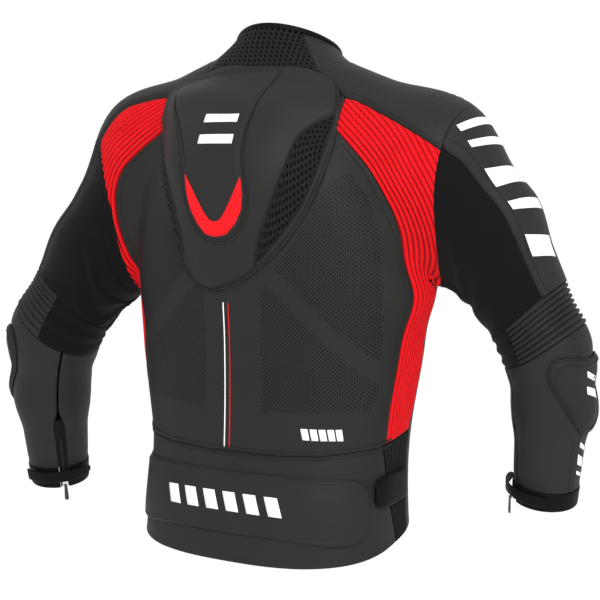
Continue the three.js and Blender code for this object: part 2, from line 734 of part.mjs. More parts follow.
// A slider body with chamfered nose, its foot at the origin, travel along +Z and top along +Y.
function sliderGeometry() {
  const outline = new THREE.Shape();
  const half = SLIDER.width / 2;
  outline.moveTo(-half, 0);
  outline.lineTo(half, 0);
  outline.lineTo(half, SLIDER.length - 3);
  outline.lineTo(half - 2, SLIDER.length);
  outline.lineTo(2 - half, SLIDER.length);
  outline.lineTo(-half, SLIDER.length - 3);
  outline.closePath();
  const body = new THREE.ExtrudeGeometry(outline, { depth: SLIDER.height, bevelEnabled: false });
  return body.rotateX(Math.PI / 2).translate(0, SLIDER.height, 0);
}

// A pull tab that hangs down from its pivot, its thickness along +Y.
function pullGeometry() {
  const outline = new THREE.Shape();
  const half = PULL.width / 2;
  outline.moveTo(-half + 1, 0);
  outline.lineTo(half - 1, 0);
  outline.lineTo(half, -PULL.length + half);
  outline.absarc(0, -PULL.length + half, half, 0, Math.PI, true);
  outline.closePath();
  const options = { depth: PULL.thickness, bevelEnabled: false, curveSegments: 5 };
  return new THREE.ExtrudeGeometry(outline, options).rotateX(Math.PI / 2).translate(0, PULL.thickness, 0);
}

// Places a geometry made with travel along +Z and top along +Y at a point, with the given directions.
function oriented(geometry, origin, along, top) {
  const z = along.clone().normalize();
  const y = top.clone().addScaledVector(z, -top.dot(z)).normalize();
  const x = y.clone().cross(z);
  const matrix = new THREE.Matrix4().makeBasis(x, y, z).setPosition(origin);
  return geometry.applyMatrix4(matrix);
}

function weld(geometry) {
  const bare = geometry.clone();
  bare.deleteAttribute("normal");
  bare.deleteAttribute("uv");
  return facingOut(mergeVertices(bare, 1e-3));
}

const FRONT_ZIP_TOP = -72;
const FRONT_ZIP_END = -578;
const FRONT_SLIDER_AT = -112; // height of the front slider's foot when the jacket is closed

function frontZip() {
  const rows = [];
  for (let i = 0; i <= 10; i += 1) {
    const z = THREE.MathUtils.lerp(FRONT_ZIP_TOP, FRONT_ZIP_END, i / 10);
    rows.push([-10.5, 0, 10.5].map((x) => {
      const p = settle(new THREE.Vector3(x, -175, z));
      p.x = x;
      return p;
    }));
  }
  add("front_zip", "tape", shell(rows, -2.5, -4.5));
  const face = settle(new THREE.Vector3(0, -170, FRONT_SLIDER_AT));
  const front = new THREE.Vector3(0, -1, 0);
  const foot = new THREE.Vector3(0, face.y + 1.5, FRONT_SLIDER_AT);
  const travel = new THREE.Vector3(0, 0, 1);
  add("front_slider", "metal", weld(oriented(sliderGeometry(), foot, travel, front)));
  const pivot = foot.clone().add(new THREE.Vector3(0, -SLIDER.height - 0.4, 7));
  add("front_pull", "metal", weld(oriented(pullGeometry(), pivot, travel, front)));
}

function cuffFastenings(side) {
  const half = (s) => zipHalfAngle(s) - 1.2;
  const tape = [];
  for (let i = 0; i <= 6; i += 1) {
    const s = THREE.MathUtils.lerp(ZIP_START + 0.3, CUFF_END - 0.02, i / 6);
    tape.push([-1, 0, 1].map((v) => sleevePoint(side, s, ZIP_ANGLE + v * half(s))));
  }
  add(`cuff_zip_${side}`, "tape", shell(tape, -1, -LEATHER - 1));
  const wrist = sleevePoint(side, 5.93, ZIP_ANGLE);
  const upper = sleevePoint(side, 4.7, ZIP_ANGLE);
  const top = outward(wrist).normalize();
  const travel = upper.clone().sub(wrist).normalize();
  const foot = wrist.clone().addScaledVector(top, -0.4);
  add(`cuff_slider_${side}`, "metal", weld(oriented(sliderGeometry(), foot, travel, top)));
  const pivot = foot.clone().addScaledVector(top, SLIDER.height + 0.4).addScaledVector(travel, 2);
  add(`cuff_pull_${side}`, "metal", weld(oriented(pullGeometry(), pivot, travel, top)));
  const strap = sleeveGrid(side, fixed(5.5), fixed(5.78), 1, 70, 190, 6);
  add(`cuff_strap_${side}`, "binding", shell(strap, 11, 9));
}

function collarTab() {
  const rows = [-52, -66].map((z) => [20, 6, -10, -26].map((x) => settle(new THREE.Vector3(x, -156, z))));
  add("collar_tab", "binding", shell(rows, 5, 3));
}

backPanel();
waistBand();
backPads();
backTrim();
innerLayers();
trouserZip();
hangerLoop();
collar();
frontZip();
collarTab();
for (const side of SIDES) {
  stretchPanel(side);
  shoulderYoke(side);
  frontPanel(side);
  sideElastic(side);
  waistStrap(side);
  sleeve(side);
  cuffFastenings(side);
}

export default jacket;
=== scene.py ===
"""Looks of a leather riding jacket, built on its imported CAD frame. Lengths are in metres."""

import bpy
import numpy as np
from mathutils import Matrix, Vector
from mathutils.bvhtree import BVHTree


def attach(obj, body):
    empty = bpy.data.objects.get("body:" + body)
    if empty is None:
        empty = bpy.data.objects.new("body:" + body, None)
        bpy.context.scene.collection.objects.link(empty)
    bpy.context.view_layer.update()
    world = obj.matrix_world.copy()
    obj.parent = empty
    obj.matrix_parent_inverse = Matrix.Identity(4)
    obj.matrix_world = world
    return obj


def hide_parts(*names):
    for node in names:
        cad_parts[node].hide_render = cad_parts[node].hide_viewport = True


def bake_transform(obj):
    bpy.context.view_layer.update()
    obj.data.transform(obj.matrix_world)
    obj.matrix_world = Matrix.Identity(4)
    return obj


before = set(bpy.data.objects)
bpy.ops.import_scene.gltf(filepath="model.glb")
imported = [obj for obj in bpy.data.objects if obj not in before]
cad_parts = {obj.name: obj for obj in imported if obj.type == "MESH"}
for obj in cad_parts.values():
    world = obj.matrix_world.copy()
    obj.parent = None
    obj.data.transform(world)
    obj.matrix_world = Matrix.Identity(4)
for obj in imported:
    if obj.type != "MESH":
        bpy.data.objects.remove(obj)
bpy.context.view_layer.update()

MM = 0.001  # the tables of the body's form are in millimetres, as a pattern cutter writes them

# ---------------------------------------------------------------- the body form, as in the CAD
# Body sections: height, half width, depth to the back, depth to the front, centre y, roundness.
BODY_SECTIONS = np.array([
    [-660, 187, 118, 132, -50, 2.6],
    [-580, 177, 116, 128, -52, 2.6],
    [-480, 178, 111, 118, -60, 2.5],
    [-360, 197, 116, 107, -68, 2.5],
    [-240, 203, 130, 97, -75, 2.4],
    [-140, 178, 130, 95, -75, 2.3],
    [-70, 143, 105, 90, -78, 2.1],
    [-20, 70, 78, 73, -82, 2.0],
    [80, 56, 62, 64, -100, 2.0],
]) * [MM, MM, MM, MM, MM, 1]
# Arm form: points from the neck to the wrist, and the sleeve's radius there.
ARM_FORM = {
    "left": MM * np.array([
        [53, -70, -43, 63],
        [202, -75, -110, 71],
        [289, -55, -256, 69],
        [351, -27, -364, 59],
        [373, -40, -460, 50],
        [382, -66, -585, 41],
    ]),
    "right": MM * np.array([
        [-53, -70, -51, 62],
        [-212, -75, -124, 73],
        [-276, -97, -204, 66],
        [-350, -123, -354, 51],
        [-353, -136, -430, 45],
        [-338, -155, -550, 40],
    ]),
}
# Middle of the sleeve at each station, from the armhole (0) to the wrist (6).
SLEEVE_STATIONS = {
    "left": MM * np.array([
        [250, -72, -160],
        [285, -58, -230],
        [318, -42, -300],
        [347, -25, -366],
        [373, -40, -460],
        [379, -55, -530],
        [382, -66, -590],
    ]),
    "right": MM * np.array([
        [-250, -75, -160],
        [-285, -92, -225],
        [-318, -105, -290],
        [-345, -117, -357],
        [-352, -133, -430],
        [-345, -147, -500],
        [-338, -155, -550],
    ]),
}
SIGN = {"left": 1, "right": -1}
BLEND = 0.045  # rounding where body, shoulder and sleeve meet
LIMB_BLEND = 0.020  # rounding between the lengths of one sleeve


def unit(v):
    v = np.asarray(v, float)
    return v / np.maximum(np.linalg.norm(v, axis=-1, keepdims=True), 1e-12)


def plane(point, normal):
    """A seam plane as (point, unit normal)."""
    return np.array(point, float), unit(normal)


RIM_PLANE = plane((0, -0.014, 0.050), (0, -0.36, 1))
WAIST_PLANE = plane((0, 0, -0.480), (0, 0.16, 1))
HEM_PLANE = plane((0, 0, -0.615), (0, 0.18, 1))
ARMHOLE = {side: plane((0.277 * SIGN[side], 0, 0), (SIGN[side], 0, -0.167)) for side in SIGN}


def body_section(z):
    """The five values of the body's section at each height, on smooth curves through the table."""
    rows = BODY_SECTIONS
    heights = rows[:, 0]
    z = np.clip(z, heights[0], heights[-1])
    slopes = np.empty((len(rows), 5))
    for k in range(len(rows)):
        a = max(k - 1, 0)
        b = min(k + 1, len(rows) - 1)
        slopes[k] = (rows[b, 1:] - rows[a, 1:]) / (heights[b] - heights[a])
    i = np.clip(np.searchsorted(heights, z, side="left") - 1, 0, len(rows) - 2)
    span = (heights[i + 1] - heights[i])[:, None]
    t = (z[:, None] - heights[i][:, None]) / span
    value = (2 * t + 1) * (1 - t) ** 2 * rows[i, 1:] + t**2 * (3 - 2 * t) * rows[i + 1, 1:]
    return value + span * (t * (1 - t) ** 2 * slopes[i] - t**2 * (1 - t) * slopes[i + 1])


def body_form(p):
    half, back, front, middle, power = body_section(p[:, 2]).T
    y = p[:, 1] - middle
    depth = np.where(y > 0, back, front)
    q = (np.abs(p[:, 0]) / half) ** power + (np.abs(y) / depth) ** power
    return (np.maximum(q, 1e-9) ** (1 / power) - 1) * np.minimum(half, depth)


def cone_form(p, a, b):
    axis = b[:3] - a[:3]
    t = np.clip((p - a[:3]) @ axis / (axis @ axis), 0, 1)
    near = a[:3] + t[:, None] * axis
    return np.linalg.norm(p - near, axis=1) - (a[3] + (b[3] - a[3]) * t)


def soft_min(a, b, k):
    h = np.clip(0.5 + 0.5 * (b - a) / k, 0, 1)
    return b * (1 - h) + a * h - k * h * (1 - h)


def form(points):
    """Zero on the jacket's outer surface, negative inside."""
    p = np.asarray(points, float).reshape(-1, 3)
    value = body_form(p)
    for side in ("left", "right"):
        f = ARM_FORM[side]
        arm = cone_form(p, f[1], f[2])
        for i in range(2, len(f) - 1):
            arm = soft_min(arm, cone_form(p, f[i], f[i + 1]), LIMB_BLEND)
        shoulder = cone_form(p, f[0], f[1])
        value = soft_min(value, soft_min(shoulder, arm, BLEND), BLEND)
    return value.reshape(np.shape(points)[:-1])


def slope(points):
    """The gradient of the form, which points outward."""
    h = 0.0005
    steps = np.eye(3) * h
    return np.stack([(form(points + d) - form(points - d)) / (2 * h) for d in steps], axis=-1)


def settle(points, seam_plane=None, rounds=6):
    """Moves points onto the outer surface, and onto a seam plane as well when one is given."""
    p = np.array(points, float)
    if seam_plane is not None:
        p = p - ((p - seam_plane[0]) @ seam_plane[1])[..., None] * seam_plane[1]
    for _ in range(rounds):
        g = slope(p)
        if seam_plane is not None:
            g = g - (g @ seam_plane[1])[..., None] * seam_plane[1]
        size = np.maximum((g * g).sum(-1), 0.05)
        p = p - g * (form(p) / size)[..., None]
    return p


# ---------------------------------------------------------------- curves
def spline(points, count):
    """count + 1 points at even spacing on a smooth curve through the given points."""
    p = np.array(points, float)
    ends = np.concatenate([[2 * p[0] - p[1]], p, [2 * p[-1] - p[-2]]])
    fine = []
    for k in range(len(p) - 1):
        a, b, c, d = ends[k : k + 4]
        ta, tb, tc = (max(np.linalg.norm(v), 1e-6) ** 0.5 for v in (b - a, c - b, d - c))
        m1 = ((b - a) / ta - (c - a) / (ta + tb) + (c - b) / tb) * tb
        m2 = ((c - b) / tb - (d - b) / (tb + tc) + (d - c) / tc) * tb
        t = np.linspace(0, 1, 24, endpoint=k == len(p) - 2)[:, None]
        curve = (2 * t + 1) * (1 - t) ** 2 * b + t**2 * (3 - 2 * t) * c
        fine.append(curve + t * (1 - t) ** 2 * m1 - t**2 * (1 - t) * m2)
    return along(np.concatenate(fine), np.linspace(0, 1, count + 1))


def lengths(path):
    """Distance along a path at each of its points."""
    steps = np.linalg.norm(np.diff(path, axis=0), axis=1)
    return np.concatenate([[0], np.cumsum(steps)])


def along(path, shares):
    """The points of a path at the given shares of its length."""
    at = lengths(path)
    places = np.asarray(shares) * at[-1]
    return np.stack([np.interp(places, at, values) for values in path.T], axis=-1)


def seam(points, seam_plane=None, count=60):
    """A seam on the outer surface through the given points."""
    return settle(spline(points, count), seam_plane)


def joined(*paths):
    return np.concatenate([paths[0]] + [p[1:] for p in paths[1:]])


# ---------------------------------------------------------------- the sleeve's chart
def sleeve_axis(side, s):
    """Middle of the sleeve and its direction at each station s."""
    p = SLEEVE_STATIONS[side]
    ends = np.concatenate([[2 * p[0] - p[1]], p, [2 * p[-1] - p[-2]]])
    s = np.clip(np.asarray(s, float), 0, len(p) - 1)
    k = np.minimum(s.astype(int), len(p) - 2)
    t = (s - k)[..., None]
    a, b, c, d = ends[k], ends[k + 1], ends[k + 2], ends[k + 3]
    m1 = (c - a) / 2
    m2 = (d - b) / 2
    middle = (2 * t + 1) * (1 - t) ** 2 * b + t**2 * (3 - 2 * t) * c
    middle = middle + t * (1 - t) ** 2 * m1 - t**2 * (1 - t) * m2
    way = (6 * t * t - 6 * t) * (b - c) + (1 - 4 * t + 3 * t * t) * m1 + (3 * t * t - 2 * t) * m2
    return middle, unit(way)


def smoothstep(x, low, high):
    t = np.clip((x - low) / (high - low), 0, 1)
    return t * t * (3 - 2 * t)


def sleeve_frame(side, s):
    middle, way = sleeve_axis(side, s)
    turn = smoothstep(np.asarray(s, float), 0.3, 2.4)[..., None]
    way = unit(way * turn + ARMHOLE[side][1] * (1 - turn))
    back = np.zeros_like(way) + [0, 1, 0]
    back = unit(back - (back * way).sum(-1, keepdims=True) * way)
    out = np.cross(way, back) * SIGN[side]
    return middle, way, back, out


SLEEVE_REACH = 0.16  # further from the sleeve's middle than its surface is
SEARCH_STEP = 0.008


def sleeve_point(side, s, phi):
    """The points at stations s and angles phi in degrees, 0 on the outside and 90 at the back."""
    s, phi = np.broadcast_arrays(np.asarray(s, float), np.asarray(phi, float))
    middle, _, back, out = sleeve_frame(side, s)
    a = np.radians(phi)[..., None]
    ray = out * np.cos(a) + back * np.sin(a)
    near = np.zeros(s.shape)
    far = np.full(s.shape, SLEEVE_REACH)
    found = np.zeros(s.shape, bool)
    for t in np.arange(SEARCH_STEP, SLEEVE_REACH, SEARCH_STEP):
        outside = form(middle + ray * t) >= 0
        far = np.where(outside & ~found, t, far)
        near = np.where(outside & ~found, t - SEARCH_STEP, near)
        found |= outside
    for _ in range(12):
        half = (near + far) / 2
        inside = form(middle + ray * half[..., None]) < 0
        near = np.where(inside, half, near)
        far = np.where(inside, far, half)
    return middle + ray * ((near + far) / 2)[..., None]


# ---------------------------------------------------------------- surface relief
def noise(p, size, seed):
    """Smooth noise from -1 to 1 with features of the given size, the same on every run."""
    q = p / size + 31.7 * seed
    cell = np.floor(q).astype(np.int64)
    f = q - cell
    f = f * f * (3 - 2 * f)
    total = np.zeros(q.shape[:-1])
    for corner in np.ndindex(2, 2, 2):
        key = (cell + corner) @ np.array([73856093, 19349663, 83492791]) + seed * 40503
        key = ((key ^ (key >> 13)) * 1274126177) & 0xFFFFFFFF
        value = ((key ^ (key >> 16)) & 0xFFFF) / 32767.5 - 1
        weight = np.prod(np.where(corner, f, 1 - f), axis=-1)
        total += value * weight
    return total


SLACK_PLACE = np.array([-0.212, -0.060, -0.290])  # slack leather below the right armpit
SLACK_REACH = np.array([0.036, 0.055, 0.034])
SLACK_DEPTH = 0.016


def relief(p):
    """How far the worn leather stands off the pattern's form: slow swells, small creases and the slack."""
    slack = SLACK_DEPTH * np.exp(-(((p - SLACK_PLACE) / SLACK_REACH) ** 2).sum(-1))
    return 0.0008 * noise(p, 0.075, 1) + 0.0003 * noise(p, 0.030, 2) + slack


def shares(length, step, rim=True):
    """Shares of a length from 0 to 1 at about one step, closer together at the two ends."""
    inner = np.linspace(0, length, max(int(round(length / step)), 2) + 1)
    if not rim:
        return inner / length
    lead = np.array([0.0, 0.0004, 0.001, 0.0018, 0.003, 0.0045])
    keep = inner[(inner > 0.0055) & (inner < length - 0.0055)]
    return np.concatenate([lead, keep, (length - lead)[::-1]]) / length


def patch(top, bottom, left, right, step=0.0035, across=None):
    """A grid on the outer surface between four edges. Opposite edges run the same way."""
    us = shares(max(lengths(left)[-1], lengths(right)[-1]), step)
    vs = shares(max(lengths(top)[-1], lengths(bottom)[-1]), across or step)
    t, b = along(top, vs)[None], along(bottom, vs)[None]
    l, r = along(left, us)[:, None], along(right, us)[:, None]
    u, v = us[:, None, None], vs[None, :, None]
    grid = (1 - u) * t + u * b + (1 - v) * l + v * r
    grid = grid - (1 - u) * ((1 - v) * top[0] + v * top[-1]) - u * ((1 - v) * bottom[0] + v * bottom[-1])
    return settle(grid)


def edge_distances(grid):
    """Distance of each point of a grid from its top, bottom, left and right edges."""
    down = np.linalg.norm(np.diff(grid, axis=0), axis=-1)
    down = np.concatenate([np.zeros((1, grid.shape[1])), np.cumsum(down, axis=0)])
    side = np.linalg.norm(np.diff(grid, axis=1), axis=-1)
    side = np.concatenate([np.zeros((grid.shape[0], 1)), np.cumsum(side, axis=1)], axis=1)
    return {"top": down, "bottom": down[-1:] - down, "left": side, "right": side[:, -1:] - side}


def rounding(distance, radius=0.0024, drop=0.0018):
    """How far the turned edge of a panel drops at each distance from its rim."""
    t = 1 - np.clip(distance / radius, 0, 1)
    return drop * (1 - np.sqrt(np.maximum(1 - t * t, 0)))


def groove(distance, at, width=0.0016, depth=0.0007):
    """A line of stitching pulls the leather down at a distance from the rim."""
    return depth * np.exp(-(((distance - at) / width) ** 2))


# ---------------------------------------------------------------- meshes
SURFACES = {}  # group name -> list of (points, quads) that details are laid on


def quads_of(index):
    return np.stack([index[:-1, :-1], index[1:, :-1], index[1:, 1:], index[:-1, 1:]], axis=-1).reshape(-1, 4)


def shell(top, bottom):
    """A closed solid between two grids of the same shape."""
    rows, columns = top.shape[:2]
    count = rows * columns
    index = np.arange(count).reshape(rows, columns)
    faces = [quads_of(index), quads_of(index + count)[:, ::-1]]
    for line, turn in ((index[0], False), (index[-1], True), (index[:, 0], True), (index[:, -1], False)):
        strip = np.stack([line[:-1], line[1:], line[1:] + count, line[:-1] + count], axis=-1)
        faces.append(strip[:, ::-1] if turn else strip)
    points = np.concatenate([top.reshape(-1, 3), bottom.reshape(-1, 3)])
    return points, np.concatenate(faces)


def facing_out(points, faces):
    """Turns the faces round if the closed solid they make is inside out."""
    a, b, c = points[faces[:, 0]], points[faces[:, 1]], points[faces[:, 2]]
    volume = np.einsum("ij,ij->", a - points.mean(0), np.cross(b - a, c - a))
    if faces.shape[1] == 4:
        d = points[faces[:, 3]]
        volume += np.einsum("ij,ij->", a - points.mean(0), np.cross(c - a, d - a))
    return faces if volume > 0 else faces[:, ::-1]


def piece(name, points, faces, look, body="torso", replaces=(), bend=None, values=None):
    """Adds a mesh to the jacket. A piece given a bend, (other body, start, end), is only baked in place and
    rides no body; the bend's three values are not used.
    """
    mesh = bpy.data.meshes.new(name)
    mesh.from_pydata(points.tolist(), [], [list(f) for f in faces.tolist()])
    mesh.polygons.foreach_set("use_smooth", np.ones(len(mesh.polygons), bool))
    # The point values carry the perforation pattern and the painted shade of rib valleys and mesh cells.
    if values is not None:
        attribute = mesh.attributes.new("mark", "FLOAT", "POINT")
        attribute.data.foreach_set("value", np.asarray(values, np.float32).ravel())
    mesh.materials.append(LOOKS[look])
    obj = bpy.data.objects.new(name, mesh)
    bpy.context.scene.collection.objects.link(obj)
    if bend:
        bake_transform(obj)
    else:
        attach(obj, body)
    if replaces:
        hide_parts(*replaces)
    return obj


def slab(name, top, bottom, look, **more):
    """A piece that fills the space between two grids."""
    points, faces = shell(top, bottom)
    return piece(name, points, facing_out(points, faces), look, **more)


def skin(name, grid, look, group="torso", lift=0.0, thickness=0.0022, rim=0.0024, values=None, **more):
    """A panel of leather or fabric on a grid of the outer surface, with turned edges and a lift."""
    normal = unit(slope(grid))
    near = np.minimum.reduce(list(edge_distances(grid).values()))
    base = relief(grid)
    top = grid + normal * (base + lift - rounding(near, rim))[..., None]
    bottom = grid + normal * (base - thickness)[..., None]
    if values is not None:
        values = np.concatenate([values.ravel(), values.ravel()])
    index = np.arange(grid[..., 0].size).reshape(grid.shape[:2])
    SURFACES.setdefault(group, []).append((top.reshape(-1, 3), quads_of(index)))
    return slab(name, top, bottom, look, values=values, **more)


TREES = {}


def tree(group):
    """The search tree of a group's surfaces, made when the first detail is laid on it."""
    if group not in TREES:
        points = []
        faces = []
        for p, f in SURFACES[group]:
            faces += (f + len(points)).tolist()
            points += p.tolist()
        TREES[group] = BVHTree.FromPolygons(points, faces)
    return TREES[group]


def drape(hints, group, lift=0.0, reach=0.06):
    """Lays points on a group's surfaces along the form's normals. Returns the points and their normals."""
    base = settle(hints)
    normal = unit(slope(base))
    flat = base.reshape(-1, 3)
    ways = normal.reshape(-1, 3)
    found = flat.copy()
    bvh = tree(group)
    for k in range(len(flat)):
        hit = bvh.ray_cast(Vector(flat[k] + ways[k] * reach), Vector(-ways[k]), 2 * reach)[0]
        if hit is not None:
            found[k] = hit
    found = found.reshape(base.shape)
    return found + normal * lift, normal


def run_along(hints, step, seam_plane=None):
    """Points about one step apart on a smooth line through the hints."""
    rough = spline(np.array(hints, float), 40)
    count = max(int(round(lengths(rough)[-1] / step)), 2)
    return settle(spline(np.array(hints, float), count), seam_plane)


def sweep(points, normals, radius, flat=1.0, sides=8, loop=False):
    """A tube along points, with its second axis along the normals, flattened by a factor."""
    if loop:
        way = unit(np.roll(points, -1, axis=0) - np.roll(points, 1, axis=0))
    else:
        way = unit(np.gradient(points, axis=0))
    across = unit(np.cross(way, normals))
    up = np.cross(across, way)
    angle = np.linspace(0, 2 * np.pi, sides, endpoint=False)[None, :, None]
    ring = across[:, None] * np.cos(angle) + up[:, None] * np.sin(angle) * flat
    rings = points[:, None] + ring * np.broadcast_to(radius, (len(points),))[:, None, None]
    index = np.arange(len(points) * sides).reshape(len(points), sides)
    index = np.concatenate([index, index[:, :1]], axis=1)
    if loop:
        index = np.concatenate([index, index[:1]], axis=0)
    faces = quads_of(index).tolist()
    verts = rings.reshape(-1, 3)
    if not loop:
        verts = np.concatenate([verts, points[[0, -1]]])
        first = len(points) * sides
        for j in range(sides):
            faces.append([index[0, j], index[0, j + 1], first])
            faces.append([index[-1, j + 1], index[-1, j], first + 1])
    return verts, faces


class Merge:
    """Collects many small solids into one mesh."""

    def __init__(self):
        self.points = []
        self.faces = []
        self.count = 0

    def add(self, points, faces):
        self.faces += [[int(i) + self.count for i in face] for face in faces]
        self.points.append(np.asarray(points, float))
        self.count += len(points)

    def make(self, name, look, body, **more):
        return piece(name, np.concatenate(self.points), FaceList(self.faces), look, body, **more)


class FaceList:
    """Faces with different numbers of corners, in the shape that piece() takes."""

    def __init__(self, faces):
        self.faces = faces

    def tolist(self):
        return self.faces


STITCH = {"pitch": 0.0042, "length": 0.0028, "radius": 0.00045}


def stitches(into, hints, group):
    """A row of stitches on a group's surfaces along a line."""
    line = run_along(hints, STITCH["pitch"])
    points, normals = drape(line, group, 0.0002)
    way = unit(np.gradient(points, axis=0))
    profile = np.array([-0.5, -0.3, 0.3, 0.5])
    widths = np.array([0.45, 1.0, 1.0, 0.45])
    for p, n, w in zip(points, normals, way):
        spine = p + np.outer(profile * STITCH["length"], w)
        verts, faces = sweep(spine, np.tile(n, (4, 1)), STITCH["radius"] * widths, sides=5)
        into.add(verts, faces)


def piping(into, hints, group, radius, lift):
    """A cord of piping laid on a group's surfaces along a line."""
    points, normals = drape(run_along(hints, 0.004), group, lift)
    into.add(*sweep(points, normals, radius))


PRINT_LIFT = 0.0003
PRINT_CELL = 0.005


def prints(into, corners, group):
    """A flat printed shape on a group's surfaces between four corner points."""
    a, b, c, d = (np.array(q, float) for q in corners)
    rows = max(int(max(np.linalg.norm(d - a), np.linalg.norm(c - b)) / PRINT_CELL), 1) + 1
    columns = max(int(max(np.linalg.norm(b - a), np.linalg.norm(c - d)) / PRINT_CELL), 1) + 1
    u = np.linspace(0, 1, rows)[:, None, None]
    v = np.linspace(0, 1, columns)[None, :, None]
    hints = (1 - u) * ((1 - v) * a + v * b) + u * ((1 - v) * d + v * c)
    points, normals = drape(hints, group)
    verts, faces = shell(points + normals * PRINT_LIFT, points - normals * 0.0004)
    into.add(verts, facing_out(verts, faces))


def signed_distance(xz, outline):
    """Distance of points from a closed outline in the plane, negative inside."""
    p = xz[..., None, :]
    a = outline
    b = np.roll(outline, -1, axis=0)
    ab = b - a
    t = np.clip(((p - a) * ab).sum(-1) / (ab * ab).sum(-1), 0, 1)
    distance = np.linalg.norm(p - (a + t[..., None] * ab), axis=-1).min(-1)
    crosses = (a[:, 1] > p[..., 1]) != (b[:, 1] > p[..., 1])
    height = np.where(np.abs(ab[:, 1]) < 1e-12, 1e-12, ab[:, 1])
    at = a[:, 0] + (p[..., 1] - a[:, 1]) / height * ab[:, 0]
    inside = (crosses & (p[..., 0] < at)).sum(-1) % 2 == 1
    return np.where(inside, -distance, distance)


def closed_curve(points, count):
    """Even points on a smooth closed curve through the given points."""
    p = np.array(points, float)
    turn = np.concatenate([p[-3:], p, p[:4]])
    curve = spline(turn, 40 * len(turn))
    start = np.argmin(np.linalg.norm(curve - p[0], axis=1)[: len(curve) // 2])
    rest = curve[start + 20 :]
    stop = start + 20 + np.argmin(np.linalg.norm(rest - p[0], axis=1))
    return along(curve[start : stop + 1], np.linspace(0, 1, count, endpoint=False))


def disc(middle, outline, seat):
    """A grid of rings from an outline to its middle on the outer surface, at the given ring shares."""
    grid = outline[None] * seat[:, None, None] + np.array(middle) * (1 - seat[:, None, None])
    return settle(grid)


def pad_mesh(top, bottom):
    """A closed solid from two grids of rings, from the outline (row 0) to the middle (last row)."""
    rings, sectors = top.shape[:2]
    centre = [top[-1].mean(0), bottom[-1].mean(0)]
    count = rings * sectors
    index = np.arange(count).reshape(rings, sectors)
    index = np.concatenate([index, index[:, :1]], axis=1)
    faces = quads_of(index).tolist() + quads_of(index + count)[:, ::-1].tolist()
    for j in range(sectors):
        faces.append([index[0, j], index[0, j + 1], index[0, j + 1] + count, index[0, j] + count])
        faces.append([index[-1, j + 1], index[-1, j], 2 * count])
        faces.append([index[-1, j] + count, index[-1, j + 1] + count, 2 * count + 1])
    points = np.concatenate([top.reshape(-1, 3), bottom.reshape(-1, 3), centre])
    a, b, c = (points[[f[k] for f in faces]] for k in range(3))
    if np.einsum("ij,ij->", a - points.mean(0), np.cross(b - a, c - a)) < 0:
        faces = [f[::-1] for f in faces]
    return points, faces


def pad_surface(group, points, shape):
    """Adds a pad's upper face, its middle closed, to the surfaces of a group."""
    rows, sectors = shape
    index = np.arange(rows * sectors).reshape(shape)
    index = np.concatenate([index, index[:, :1]], axis=1)
    last = index[-1]
    centre = np.full(sectors // 2, 2 * rows * sectors)
    middle = np.stack([last[:-2:2], last[1:-1:2], last[2::2], centre], -1)
    SURFACES.setdefault(group, []).append((points, np.concatenate([quads_of(index), middle])))


CLOTH_FRAMES = 20


def inflate(obj, held, pressure, most):
    """Swells a pad with cloth under pressure. Held points stay, and none moves further than most."""
    scene = bpy.context.scene
    rest = np.array([v.co for v in obj.data.vertices])
    group = obj.vertex_groups.new(name="held")
    group.add(np.nonzero(held)[0].tolist(), 1.0, "REPLACE")
    cloth = obj.modifiers.new("cloth", "CLOTH")
    cloth.settings.quality = 5
    cloth.settings.mass = 0.3
    cloth.settings.tension_stiffness = 20
    cloth.settings.compression_stiffness = 20
    cloth.settings.bending_stiffness = 2
    cloth.settings.use_pressure = True
    cloth.settings.uniform_pressure_force = pressure
    cloth.settings.vertex_group_mass = "held"
    cloth.settings.effector_weights.gravity = 0
    cloth.point_cache.frame_start = 1
    cloth.point_cache.frame_end = CLOTH_FRAMES
    for number in range(1, CLOTH_FRAMES + 1):
        scene.frame_set(number)
    seen = obj.evaluated_get(bpy.context.evaluated_depsgraph_get())
    swollen = np.array([v.co for v in seen.data.vertices])
    move = swollen - rest
    size = np.linalg.norm(move, axis=1, keepdims=True)
    move = move * np.minimum(1, most / np.maximum(size, 1e-9))
    obj.modifiers.remove(cloth)
    obj.vertex_groups.clear()
    scene.frame_set(1)
    swollen = rest + move
    obj.data.vertices.foreach_set("co", swollen.astype(np.float32).ravel())
    obj.data.update()
    return swollen


def swell(obj, points, held, pressure, most, group):
    """Swells a pad where it is not held, and adds its upper face to the surfaces of a group."""
    still = np.ones(len(points), bool)
    still[: held.size] = held.ravel()
    points = inflate(obj, still, pressure, most)
    pad_surface(group, points, held.shape)


